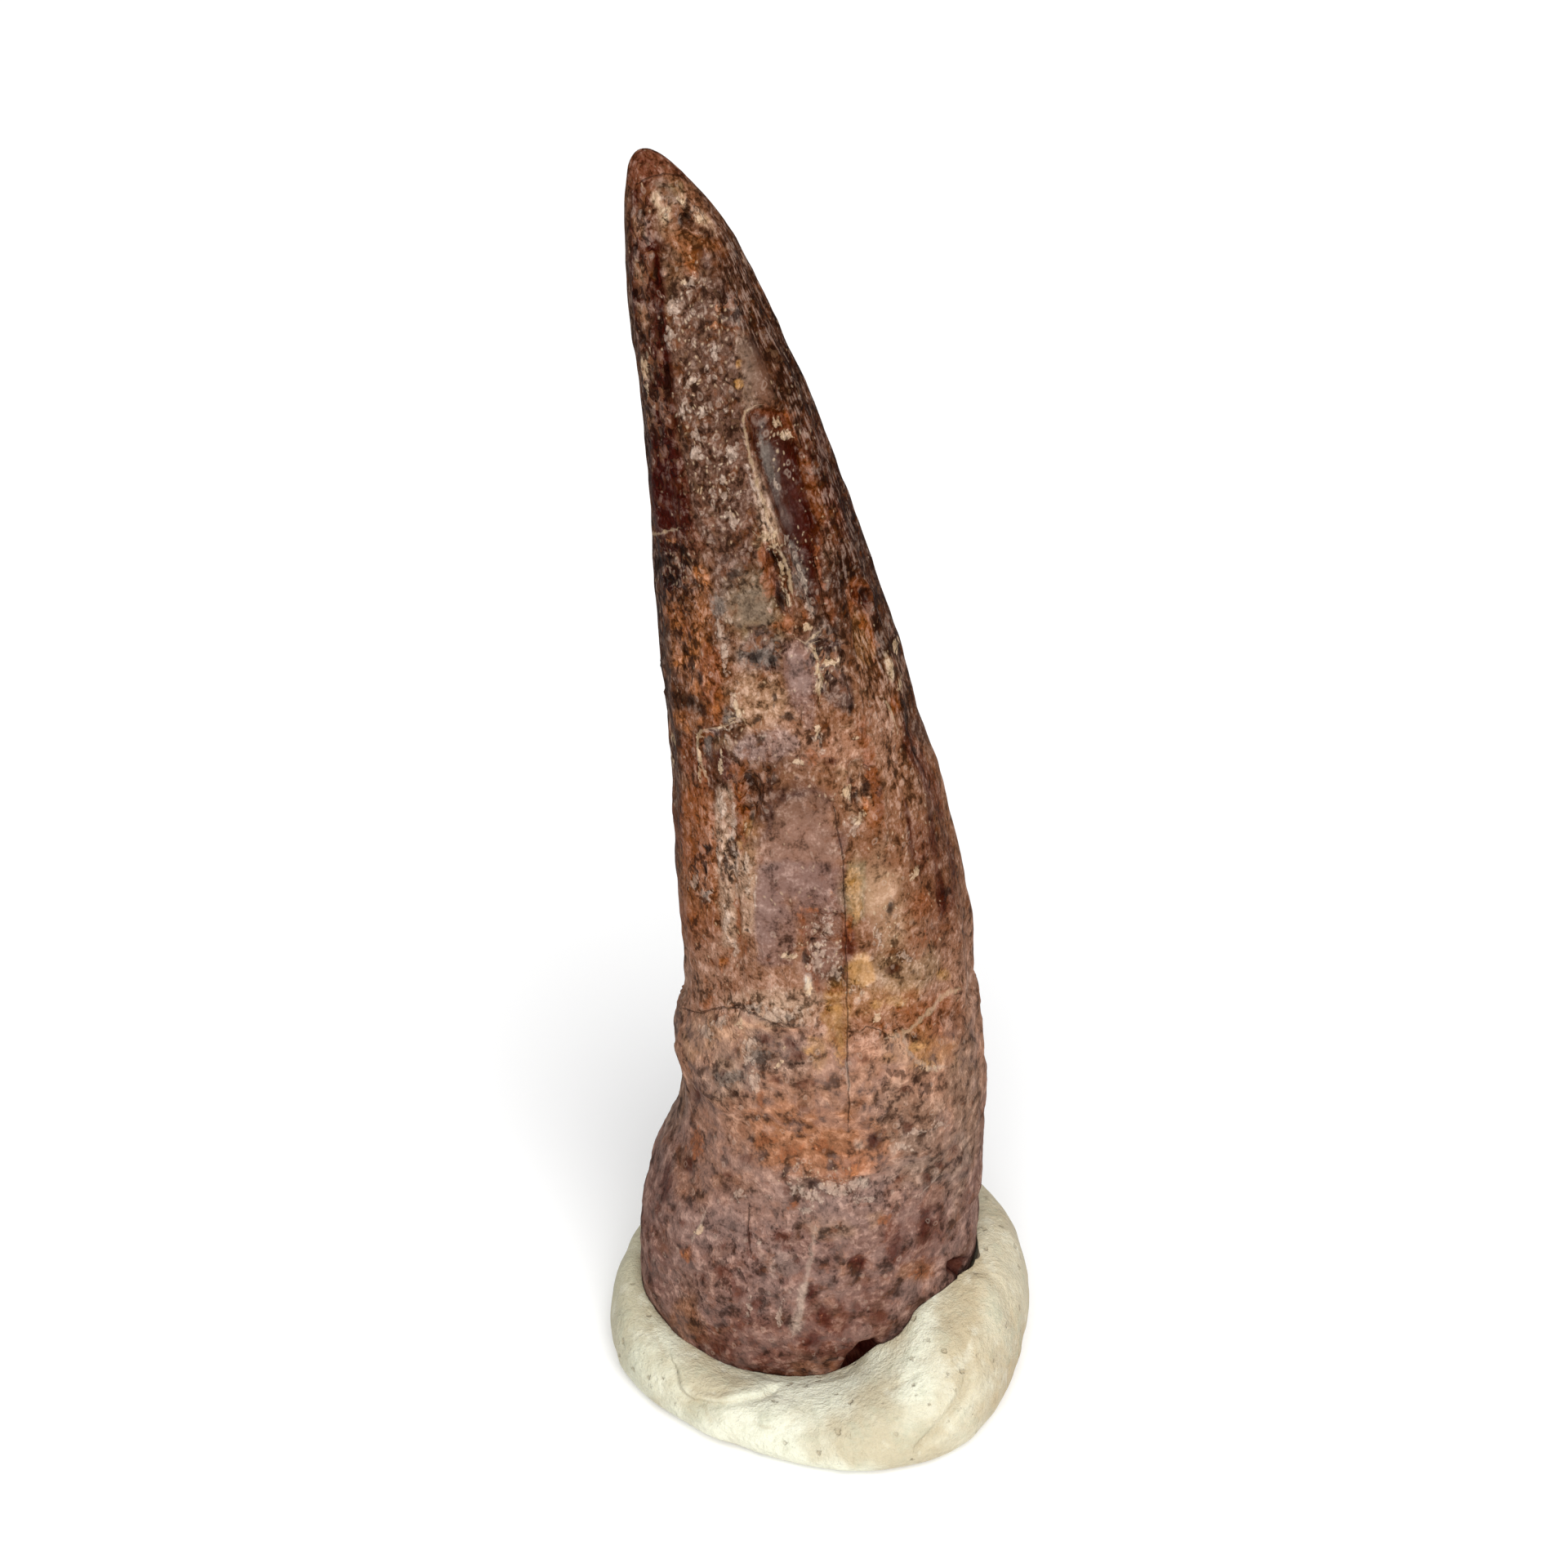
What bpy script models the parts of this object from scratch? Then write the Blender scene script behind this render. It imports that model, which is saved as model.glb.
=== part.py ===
# A fossil spinosaur tooth standing in its lump of mounting putty.
# Two pieces: the tooth, which is crown and root in one, and the putty that holds the root.
# Metres, +Z up. The origin is on the resting surface, under the middle of the putty.
# The tooth's broad face looks along -Y, and its tip leans to -X.

import math

import bmesh
import bpy
from mathutils import Vector, noise

# Heights above the resting surface
ROOT_BOTTOM = 0.0012
DOME_START = 0.0980
TIP_TOP = 0.0992

# Outline of the broad face: height, left edge, right edge
TOOTH_OUTLINE = [
    (0.0012, -0.0126, 0.0099),
    (0.0050, -0.0136, 0.0110),
    (0.0090, -0.0139, 0.0117),
    (0.0140, -0.0133, 0.0119),
    (0.0180, -0.0122, 0.0120),
    (0.0220, -0.0108, 0.0121),
    (0.0260, -0.0103, 0.0118),
    (0.0285, -0.0108, 0.0116),
    (0.0305, -0.0107, 0.0114),
    (0.0325, -0.0103, 0.0112),
    (0.0345, -0.0102, 0.0109),
    (0.0400, -0.0103, 0.0105),
    (0.0500, -0.0107, 0.0085),
    (0.0600, -0.0112, 0.0058),
    (0.0700, -0.0117, 0.0028),
    (0.0800, -0.0122, -0.0005),
    (0.0860, -0.0127, -0.0030),
    (0.0900, -0.0129, -0.0047),
    (0.0940, -0.0130, -0.0066),
    (0.0960, -0.0130, -0.0080),
    (0.0980, -0.0127, -0.0097),
]

# Depth of a section as a share of its width: height, share
TOOTH_FLATNESS = [(0.0, 0.84), (0.034, 0.80), (0.070, 0.78), (0.099, 0.75)]
# Distance of the tooth's axis behind the middle of the putty
TOOTH_SETBACK = 0.00135

# Mesh of the tooth: rows between these heights, each run with its own number of steps
TOOTH_COLUMNS = 60
TOOTH_RUNS = [(ROOT_BOTTOM, 0.0280, 14), (0.0280, 0.0360, 8), (0.0360, DOME_START, 27)]
DOME_ROWS = 4
DOME_LAST_TURN = math.radians(78.0)
DOME_DRIFT = 0.35
ROOT_EDGE_ROUNDING = 0.0011
ROOT_EDGE_SHRINK = 0.07

# Line where the crown's enamel ends on the root: angle round the section, height
LEDGE_LINE = [
    (-84.0, 0.0346),
    (0.0, 0.0334),
    (90.0, 0.0366),
    (180.0, 0.0322),
    (250.0, 0.0368),
    (276.0, 0.0346),
    (360.0, 0.0334),
]
LEDGE_STEP = 0.00028
LEDGE_SLOPE = 0.0008

# Relief of the surface
FLUTE_COUNT = 14
FLUTE_DEPTH = 0.00009
SMOOTH_TIP_START = 0.0880
SMOOTH_TIP_END = 0.0960
KEEL_ANGLES = (244.0, 62.0)
KEEL_HEIGHT = 0.00034
KEEL_WIDTH = 7.0
LUMP_SIZE = 0.0075
CROWN_LUMPS = 0.00014
ROOT_LUMPS = 0.00036
PEBBLE_SIZE = 0.0031
CROWN_PEBBLES = 0.00016
ROOT_PEBBLES = 0.00026
GRAIN_STRETCH = 0.45
HOLLOW_EDGE = 0.30
# Chips, slots and pits: angle round the section, height, half width, half length, depth, slant
HOLLOWS = [
    (299.0, 0.0760, 0.0024, 0.0072, 0.00060, 0.14),
    (281.0, 0.0708, 0.0010, 0.0026, 0.00050, 0.05),
    (247.0, 0.0544, 0.0009, 0.0022, 0.00040, 0.00),
    (305.0, 0.0560, 0.0013, 0.0040, 0.00040, 0.08),
    (329.0, 0.0668, 0.0011, 0.0036, 0.00035, 0.05),
    (296.0, 0.0950, 0.0008, 0.0013, 0.00040, 0.00),
    (269.0, 0.0413, 0.0014, 0.0020, 0.00030, 0.00),
    (287.0, 0.0052, 0.0014, 0.0013, 0.00180, 0.00),
    (75.0, 0.0720, 0.0019, 0.0050, 0.00045, -0.10),
    (108.0, 0.0520, 0.0013, 0.0034, 0.00040, 0.06),
    (40.0, 0.0465, 0.0011, 0.0030, 0.00035, 0.00),
    (165.0, 0.0600, 0.0010, 0.0038, 0.00035, 0.04),
]

# Putty round the root, every PUTTY_STEP degrees from +X: outer radius, crest height, height at the root
PUTTY_OUTLINE = [
    (0.0171, 0.0101, 0.0096),
    (0.0173, 0.0094, 0.0088),
    (0.0170, 0.0092, 0.0080),
    (0.0168, 0.0088, 0.0074),
    (0.0168, 0.0086, 0.0072),
    (0.0168, 0.0082, 0.0066),
    (0.0168, 0.0070, 0.0054),
    (0.0172, 0.0058, 0.0044),
    (0.0173, 0.0048, 0.0036),
    (0.0156, 0.0042, 0.0030),
    (0.0162, 0.0040, 0.0026),
    (0.0173, 0.0046, 0.0032),
    (0.0187, 0.0076, 0.0078),
    (0.0169, 0.0098, 0.0098),
]
PUTTY_STEP = 360.0 / len(PUTTY_OUTLINE)
PUTTY_LEVELS = 2
SIDE_HEIGHT_SHARE = 0.38
SHOULDER_HEIGHT_SHARE = 0.88
SHOULDER_REACH_SHARE = 0.78
CREST_REACH_SHARE = 0.40
FOOT_INSET = 0.0009
FLAT_INSET = 0.0026
CONTACT_INSET = 0.0016

ENAMEL_COLOUR = (0.26, 0.14, 0.10)
ENAMEL_ROUGHNESS = 0.45
PUTTY_COLOUR = (0.74, 0.69, 0.55)
PUTTY_ROUGHNESS = 0.60

# Clearance between the root and its socket, past the root's own lumps
SOCKET_GAP = 0.0003
ROOT_RISE = 0.0002
SOCKET_CUTTER_TOP = 0.0160
SOCKET_CUTTER_ROWS = 7


def clear_scene():
    for item in list(bpy.data.objects):
        bpy.data.objects.remove(item, do_unlink=True)


def make_collection(name):
    collection = bpy.data.collections.new(name)
    bpy.context.scene.collection.children.link(collection)
    return collection


def make_material(name, colour, roughness):
    material = bpy.data.materials.new(name)
    material.use_nodes = True
    shader = material.node_tree.nodes["Principled BSDF"]
    shader.inputs["Base Color"].default_value = (*colour, 1.0)
    shader.inputs["Roughness"].default_value = roughness
    shader.inputs["Metallic"].default_value = 0.0
    return material


def smooth_step(low, high, value):
    share = min(max((value - low) / (high - low), 0.0), 1.0)
    return share * share * (3.0 - 2.0 * share)


def mix(low, high, share):
    return low + (high - low) * share


def slope_at(points, index, column):
    before = points[max(index - 1, 0)]
    after = points[min(index + 1, len(points) - 1)]
    return (after[column] - before[column]) / (after[0] - before[0])


def curve_value(points, at, column):
    # Smooth curve through points whose first number is the place along it
    at = min(max(at, points[0][0]), points[-1][0])
    index = 0
    while index < len(points) - 2 and points[index + 1][0] < at:
        index += 1
    start, end = points[index], points[index + 1]
    length = end[0] - start[0]
    share = (at - start[0]) / length
    rise = slope_at(points, index, column) * length
    fall = slope_at(points, index + 1, column) * length
    return (
        start[column] * (2 * share**3 - 3 * share**2 + 1)
        + end[column] * (3 * share**2 - 2 * share**3)
        + rise * (share**3 - 2 * share**2 + share)
        + fall * (share**3 - share**2)
    )


def tooth_section(height):
    # Middle x, middle y, half width and half depth of the tooth at a height
    left = curve_value(TOOTH_OUTLINE, height, 1)
    right = curve_value(TOOTH_OUTLINE, height, 2)
    half_width = (right - left) / 2
    half_depth = half_width * curve_value(TOOTH_FLATNESS, height, 1)
    return (left + right) / 2, TOOTH_SETBACK, half_width, half_depth


def angle_between(angle, other):
    return (angle - other + 180.0) % 360.0 - 180.0


def hollow_depth(angle, height, hollow, radius):
    middle, level, half_width, half_length, depth, slant = hollow
    along = height - level
    across = math.radians(angle_between(angle, middle)) * radius + slant * along
    reach = math.hypot(across / half_width, along / half_length)
    return depth * (1.0 - smooth_step(1.0 - HOLLOW_EDGE, 1.0 + HOLLOW_EDGE, reach))


def relief(angle, height, radius, point):
    # How far the surface stands out of the plain section
    ledge = curve_value(LEDGE_LINE, angle, 1)
    crown = smooth_step(ledge - LEDGE_SLOPE, ledge + LEDGE_SLOPE, height)
    ribbed = crown * (1.0 - smooth_step(SMOOTH_TIP_START, SMOOTH_TIP_END, height))
    rise = ribbed * FLUTE_DEPTH * math.cos(math.radians(angle) * FLUTE_COUNT)
    for keel in KEEL_ANGLES:
        rise += ribbed * KEEL_HEIGHT * math.exp(-((angle_between(angle, keel) / KEEL_WIDTH) ** 2))
    rise += LEDGE_STEP * (1.0 - crown) * smooth_step(0.0, ledge, height)
    rise += mix(ROOT_LUMPS, CROWN_LUMPS, crown) * noise.noise(point / LUMP_SIZE)
    grain = Vector((point.x, point.y, point.z * mix(1.0, GRAIN_STRETCH, crown))) / PEBBLE_SIZE
    rise += mix(ROOT_PEBBLES, CROWN_PEBBLES * ribbed, crown) * noise.noise(grain)
    for hollow in HOLLOWS:
        rise -= hollow_depth(angle, height, hollow, radius)
    return rise


def tooth_ring(height, shrink, grow, carved):
    # Points of one horizontal ring, scaled by shrink and then grown outwards by grow
    middle_x, middle_y, half_width, half_depth = tooth_section(height)
    half_width = half_width * shrink + grow
    half_depth = half_depth * shrink + grow
    ring = []
    for column in range(TOOTH_COLUMNS):
        angle = 360.0 * column / TOOTH_COLUMNS
        turn = math.radians(angle)
        across, deep = math.cos(turn), math.sin(turn)
        outward = Vector((across / half_width, deep / half_depth, 0.0)).normalized()
        point = Vector((middle_x + half_width * across, middle_y + half_depth * deep, height))
        if carved:
            point += outward * relief(angle, height, (half_width + half_depth) / 2, point) * shrink
        ring.append(point)
    return ring


def loft(name, rings, collection, material):
    # One closed body through rings of equal counts, closed by a fan at each end
    mesh = bmesh.new()
    rows = [[mesh.verts.new(point) for point in ring] for ring in rings]
    count = len(rows[0])
    for lower, upper in zip(rows, rows[1:]):
        for index in range(count):
            after = (index + 1) % count
            mesh.faces.new((lower[index], lower[after], upper[after], upper[index]))
    floor = mesh.verts.new(sum(rings[0], Vector()) / count)
    top = mesh.verts.new(sum(rings[-1], Vector()) / count)
    for index in range(count):
        after = (index + 1) % count
        mesh.faces.new((floor, rows[0][after], rows[0][index]))
        mesh.faces.new((top, rows[-1][index], rows[-1][after]))
    data = bpy.data.meshes.new(name)
    mesh.to_mesh(data)
    mesh.free()
    body = bpy.data.objects.new(name, data)
    collection.objects.link(body)
    if material:
        data.materials.append(material)
        data.shade_smooth()
    return body


def run_heights(runs):
    heights = [runs[0][0]]
    for low, high, steps in runs:
        heights += [low + (high - low) * (step + 1) / steps for step in range(steps)]
    return heights


def make_tooth(collection):
    rings = []
    for height in run_heights(TOOTH_RUNS):
        above_floor = min((height - ROOT_BOTTOM) / ROOT_EDGE_ROUNDING, 1.0)
        shrink = 1.0 - ROOT_EDGE_SHRINK * (1.0 - math.sqrt(above_floor * (2.0 - above_floor)))
        rings.append(tooth_ring(height, shrink, 0.0, True))
    dome_rise = TIP_TOP - DOME_START
    for row in range(1, DOME_ROWS + 1):
        turn = DOME_LAST_TURN * row / DOME_ROWS
        rise = dome_rise * math.sin(turn)
        shift = Vector((-DOME_DRIFT * rise, 0.0, rise))
        rings.append([point + shift for point in tooth_ring(DOME_START, math.cos(turn), 0.0, False)])
    enamel = make_material("fossil_enamel", ENAMEL_COLOUR, ENAMEL_ROUGHNESS)
    return loft("tooth", rings, collection, enamel)


def root_reach(angle, height):
    # Distance from the origin's axis to the side of the root, in one direction
    middle_x, middle_y, half_width, half_depth = tooth_section(height)
    way_x, way_y = math.cos(angle) / half_width, math.sin(angle) / half_depth
    off_x, off_y = -middle_x / half_width, -middle_y / half_depth
    square = way_x**2 + way_y**2
    half = way_x * off_x + way_y * off_y
    return (-half + math.sqrt(half**2 - square * (off_x**2 + off_y**2 - 1.0))) / square


def putty_column(angle, outer, crest, contact):
    # Points up one side of the putty cage: distance from the axis and height
    root = root_reach(angle, contact)
    wall = outer - root
    return [
        (outer - FLAT_INSET, 0.0),
        (outer - FOOT_INSET, 0.0),
        (outer, crest * SIDE_HEIGHT_SHARE),
        (root + wall * SHOULDER_REACH_SHARE, crest * SHOULDER_HEIGHT_SHARE),
        (root + wall * CREST_REACH_SHARE, crest),
        (root - CONTACT_INSET, contact),
    ]


def make_putty(collection):
    columns = []
    for index, (outer, crest, contact) in enumerate(PUTTY_OUTLINE):
        angle = math.radians(index * PUTTY_STEP)
        way = Vector((math.cos(angle), math.sin(angle), 0.0))
        places = putty_column(angle, outer, crest, contact)
        columns.append([way * reach + Vector((0.0, 0.0, rise)) for reach, rise in places])
    rings = [list(ring) for ring in zip(*columns)]
    putty = make_material("cream_putty", PUTTY_COLOUR, PUTTY_ROUGHNESS)
    body = loft("putty_base", rings, collection, putty)
    rounding = body.modifiers.new("rounding", "SUBSURF")
    rounding.levels = PUTTY_LEVELS
    rounding.render_levels = PUTTY_LEVELS
    return body


def make_socket_cutter(collection):
    low = ROOT_BOTTOM - SOCKET_GAP
    rings = []
    for row in range(SOCKET_CUTTER_ROWS):
        height = low + (SOCKET_CUTTER_TOP - low) * row / (SOCKET_CUTTER_ROWS - 1)
        rings.append(tooth_ring(height, 1.0, SOCKET_GAP + ROOT_RISE, False))
    cutter = loft("socket_cutter", rings, collection, None)
    cutter.hide_render = True
    cutter.display_type = "WIRE"
    return cutter


def cut_socket(body, cutter):
    cut = body.modifiers.new("socket", "BOOLEAN")
    cut.operation = "DIFFERENCE"
    cut.solver = "EXACT"
    cut.object = cutter


def main():
    clear_scene()
    parts = make_collection("fossil_spinosaurus_tooth")
    cutters = make_collection("cutters")
    make_tooth(parts)
    putty = make_putty(parts)
    cut_socket(putty, make_socket_cutter(cutters))


main()
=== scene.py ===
import math
import random
import bpy
import numpy as np
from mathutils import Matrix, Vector, noise


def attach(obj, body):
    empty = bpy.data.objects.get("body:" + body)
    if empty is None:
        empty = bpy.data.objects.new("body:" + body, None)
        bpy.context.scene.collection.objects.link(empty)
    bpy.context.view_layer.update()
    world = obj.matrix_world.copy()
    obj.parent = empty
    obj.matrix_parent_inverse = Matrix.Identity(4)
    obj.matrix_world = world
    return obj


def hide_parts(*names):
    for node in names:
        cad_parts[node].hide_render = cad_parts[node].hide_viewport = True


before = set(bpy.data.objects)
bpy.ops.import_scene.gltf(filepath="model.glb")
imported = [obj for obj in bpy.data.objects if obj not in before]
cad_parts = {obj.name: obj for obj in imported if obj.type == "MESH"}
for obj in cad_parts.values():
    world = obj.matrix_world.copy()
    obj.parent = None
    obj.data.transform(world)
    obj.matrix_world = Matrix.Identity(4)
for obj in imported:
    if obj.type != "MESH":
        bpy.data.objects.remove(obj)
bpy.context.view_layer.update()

# A fossil tooth standing in a lump of putty. Lengths here are millimetres, and a mesh is
# scaled to metres when it is made. Turns are degrees round the tooth, with 0 at +X and 270
# at the front. Marks are placed by where the photograph shows them, in its 1920 frame.

metre = 0.001
palette = {
    "umber": (58, 33, 23), "maroon": (64, 22, 17), "wine": (96, 51, 38), "brown": (108, 75, 58),
    "hazel": (136, 94, 70), "tan": (170, 132, 104), "sand": (192, 154, 122), "rust": (146, 90, 62),
    "brick": (132, 78, 54), "orange": (184, 120, 82), "ochre": (184, 138, 92), "olive": (146, 122, 92),
    "cream": (212, 182, 150), "chalk": (198, 174, 156), "mauve": (131, 100, 90),
    "lilac": (148, 121, 112), "slate": (124, 112, 103), "ash": (134, 110, 94), "black": (26, 15, 11),
    "soot": (44, 26, 19), "rose": (162, 120, 98), "plum": (104, 66, 58), "glass": (54, 27, 18),
    "clay": (152, 98, 66), "peach": (166, 118, 94), "flax": (188, 154, 130), "dusk": (92, 70, 62),
    "moss": (130, 113, 98), "amber": (126, 75, 47), "steelGreyAndSheen": (96, 86, 80), "honey": (148, 102, 65),
    "tip": (119, 72, 54), "salmon": (178, 102, 74), "paintedGlint": (232, 218, 202),
    "puttyCream": (205, 204, 184), "puttyShade": (178, 168, 142), "puttyLight": (210, 208, 190),
    "puttyGreen": (168, 168, 146), "puttyDirtAndShade": (146, 130, 102), "puttyTanAndShade": (168, 144, 108),
    "paleFloor": (252, 252, 252),
}


def paint(name, strength=1.0):
    # screen colour to the linear values that shaders use
    return np.array([(c / 255.0) ** 2.2 * strength for c in palette[name]])


# The photograph's camera, and the distances between which a line of sight is searched
camera = {
    "place": (-2.85, -201.76, 188.0), "pitch": 34.0, "lens": 79.69, "sensor": 36.0, "frame": 1920.0,
    "clipStart": 0.01, "nearest": 150.0, "farthest": 320.0, "looks": 1401, "nudges": 26,
    "middleLine": [(180, 790), (500, 890), (900, 975), (1200, 1015), (1700, 990)],
}
focalPixels = camera["lens"] / camera["sensor"] * camera["frame"]
pitch = math.radians(camera["pitch"])
eye = np.array(camera["place"])
forward = np.array([0.0, math.cos(pitch), -math.sin(pitch)])
upward = np.array([0.0, math.sin(pitch), math.cos(pitch)])
rightward = np.array([1.0, 0.0, 0.0])


def pixelOf(points):
    away = np.asarray(points) - eye
    depth = away @ forward
    half = camera["frame"] / 2
    return np.stack([half + focalPixels * (away @ rightward) / depth,
                     half - focalPixels * (away @ upward) / depth], axis=-1)


def makeCamera():
    data = bpy.data.cameras.new("camera")
    data.lens = camera["lens"]
    data.sensor_width = camera["sensor"]
    data.clip_start = camera["clipStart"]
    body = bpy.data.objects.new("camera", data)
    bpy.context.scene.collection.objects.link(body)
    body.location = Vector(camera["place"]) * metre
    body.rotation_euler = (math.radians(90.0 - camera["pitch"]), 0.0, 0.0)
    bpy.context.scene.camera = body


makeCamera()
print("camera placed")


def smoothStep(low, high, value):
    share = np.clip((value - low) / (high - low), 0.0, 1.0)
    return share * share * (3.0 - 2.0 * share)


def curveThrough(points, at, column=1):
    # smooth curve through given points whose first number is the place along it
    table = np.array(points, float)
    places, values = table[:, 0], table[:, column]
    slopes = np.empty(len(places))
    slopes[1:-1] = (values[2:] - values[:-2]) / (places[2:] - places[:-2])
    slopes[0] = (values[1] - values[0]) / (places[1] - places[0])
    slopes[-1] = (values[-1] - values[-2]) / (places[-1] - places[-2])
    at = np.clip(at, places[0], places[-1])
    index = np.clip(np.searchsorted(places, at) - 1, 0, len(places) - 2)
    length = places[index + 1] - places[index]
    t = (at - places[index]) / length
    return (values[index] * (2 * t**3 - 3 * t**2 + 1) + values[index + 1] * (3 * t**2 - 2 * t**3)
            + slopes[index] * length * (t**3 - 2 * t**2 + t)
            + slopes[index + 1] * length * (t**3 - t**2))


def wrapTurn(turn):
    return (turn + 180.0) % 360.0 - 180.0


def cloud(points, size, octaves, seed):
    # soft noise about zero at each point, with lumps of the given size
    shifted = np.asarray(points) / size + seed
    spots = [Vector(p) for p in shifted.reshape(-1, 3)]
    if octaves > 1:
        values = [noise.fractal(spot, 1.0, 2.0, octaves) for spot in spots]
    else:
        values = [noise.noise(spot) for spot in spots]
    return np.array(values).reshape(shifted.shape[:-1])


# Noise by name: strength, size in millimetres, octaves, seed
clouds = {
    "bands": (3.0, 9.0, 2, 4.0), "warpRound": (0.22, 0.9, 2, 7.0), "warpUp": (0.26, 1.1, 2, 17.0),
    "tintEdge": (0.55, 2.6, 3, 27.0), "wobble": (0.10, 0.6, 2, 37.0), "patchEdge": (0.16, 1.5, 2, 47.0),
    "ledgeEdge": (0.5, 1.4, 2, 3.0), "lumps": (1.0, 7.5, 1, 5.0), "pebbles": (1.0, 3.1, 2, 9.0),
    "grit": (1.0, 1.15, 2, 13.0), "sand": (1.0, 0.52, 1, 21.0), "puttyLumps": (0.20, 5.0, 2, 51.0),
    "puttyDimples": (0.085, 1.9, 2, 61.0), "creaseEdge": (2.0, 1.8, 2, 71.0),
}


def cloudOf(name, points):
    strength, size, octaves, seed = clouds[name]
    return strength * cloud(points, size, octaves, seed)


# The tooth's own form, the same as the solid in the frame
tooth = {
    "outline": [
        (1.2, -12.6, 9.9), (5.0, -13.6, 11.0), (9.0, -13.9, 11.7), (14.0, -13.3, 11.9),
        (18.0, -12.2, 12.0), (22.0, -10.8, 12.1), (26.0, -10.3, 11.8), (28.5, -10.8, 11.6),
        (30.5, -10.7, 11.4), (32.5, -10.3, 11.2), (34.5, -10.2, 10.9), (40.0, -10.3, 10.5),
        (50.0, -10.7, 8.5), (60.0, -11.2, 5.8), (70.0, -11.7, 2.8), (80.0, -12.2, -0.5),
        (86.0, -12.7, -3.0), (90.0, -12.9, -4.7), (94.0, -13.0, -6.6), (96.0, -13.0, -8.0),
        (98.0, -12.7, -9.7),
    ],
    "flatness": [(0.0, 0.84), (34.0, 0.80), (70.0, 0.78), (99.0, 0.75)],
    "setback": 1.35,
    "ledge": [(-84.0, 34.6), (0.0, 33.4), (90.0, 36.6), (180.0, 32.2), (250.0, 36.8), (276.0, 34.6),
              (360.0, 33.4)],
    "bottom": 1.2, "domeStart": 98.0, "top": 99.2, "tipLean": 0.35,
    "columns": 300, "rows": 306, "domeRows": 10,
    "fluteCount": 14, "fluteDepth": 0.09, "keels": (244.0, 62.0), "keelHeight": 0.34, "keelWidth": 7.0,
    "ledgeStep": 0.28, "ledgeStepFull": 34.0, "ledgeSlope": 0.5, "ledgeBand": (0.5, 4.5),
    "ledgeSeam": 276.0, "tipSmooth": (88.0, 96.0), "footRound": 1.0, "footHeight": 2.2,
    "straightRadius": 8.0, "crowding": 0.35 * 57.3, "crowdedTurn": 275.0, "domeTurn": 84.0,
    "fallback": (270.0, 50.0),
}


def section(heights):
    left = curveThrough(tooth["outline"], heights, 1)
    right = curveThrough(tooth["outline"], heights, 2)
    halfWidth = (right - left) / 2
    return (left + right) / 2, halfWidth, halfWidth * curveThrough(tooth["flatness"], heights)


def surfacePoint(turns, heights):
    middle, halfWidth, halfDepth = section(heights)
    angle = np.radians(turns)
    return np.stack([middle + halfWidth * np.cos(angle), tooth["setback"] + halfDepth * np.sin(angle),
                     heights + 0.0 * angle], axis=-1)


def girthRadius(heights):
    _, halfWidth, halfDepth = section(heights)
    return (halfWidth + halfDepth) / 2


def spotSeenAt(x, y):
    # turn and height of the tooth's surface behind one pixel of the photograph
    half = camera["frame"] / 2
    steps = np.linspace(camera["nearest"], camera["farthest"], camera["looks"])
    middleX = curveThrough(camera["middleLine"], np.array([y]))[0]
    for nudge in np.linspace(0.0, 1.0, camera["nudges"]):
        column = x + (middleX - x) * nudge
        way = forward + rightward * (column - half) / focalPixels + upward * (half - y) / focalPixels
        path = eye + steps[:, None] * way
        middle, halfWidth, halfDepth = section(path[:, 2])
        across = (path[:, 0] - middle) / halfWidth
        deep = (path[:, 1] - tooth["setback"]) / halfDepth
        inside = across**2 + deep**2 < 1.0
        inside &= (path[:, 2] > tooth["bottom"]) & (path[:, 2] < tooth["top"])
        if inside.any():
            hit = int(np.argmax(inside))
            return math.degrees(math.atan2(deep[hit], across[hit])) % 360.0, path[hit, 2]
    return tooth["fallback"]


edgeOn = 6.5  # fewest pixels that a millimetre round the tooth may cover, at its outline
upOn = 9.0  # the same for a millimetre up the tooth
hair = 0.1  # the short way in millimetres that a spot's footprint is measured over


def footprint(x, y):
    # a spot, and how many pixels a millimetre round or up the tooth covers there
    turn, height = spotSeenAt(x, y)
    radius = float(girthRadius(np.array([height]))[0])
    trio = surfacePoint(np.array([turn, turn + math.degrees(hair / radius), turn]),
                        np.array([height, height, height + hair]))
    seen = pixelOf(trio)
    roundWay = (seen[1] - seen[0]) / hair
    upWay = (seen[2] - seen[0]) / hair
    size = max(np.hypot(*roundWay), 1e-6)
    if size < edgeOn:
        roundWay = roundWay * edgeOn / size
    return turn, height, roundWay, upWay


def pixelsFrom(spot, turns, heights, radii):
    # how far each place on the tooth lies from a spot, in flattened-out pixels
    turn, height, roundWay, upWay = spot
    around = np.radians(wrapTurn(turns - turn)) * radii
    rise = heights - height
    return around * roundWay[0] + rise * upWay[0], around * roundWay[1] + rise * upWay[1]


def markReach(spot, mark, turns, heights, radii):
    # 0 at a mark's middle and 1 on its edge
    dx, dy = pixelsFrom(spot, turns, heights, radii)
    tilt = math.radians(mark[4]) if len(mark) > 4 else 0.0
    along = dx * math.cos(tilt) + dy * math.sin(tilt)
    down = dy * math.cos(tilt) - dx * math.sin(tilt)
    return np.hypot(along / mark[2], down / mark[3])


# The hidden side carries the same kinds of mark, turned round the tooth and slid down it
backShift = {
    "turn": 204.0, "slide": 8.0, "slideFrom": 37.0, "slideTo": 98.0, "spread": 5.0, "rise": 0.8,
    "lowest": 3.0, "highest": 97.0, "seed": 11,
}


def slidDown(heights):
    share = (heights - backShift["slideFrom"]) / (backShift["slideTo"] - backShift["slideFrom"])
    return heights - backShift["slide"] * np.sin(np.pi * np.clip(share, 0.0, 1.0))**2


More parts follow.
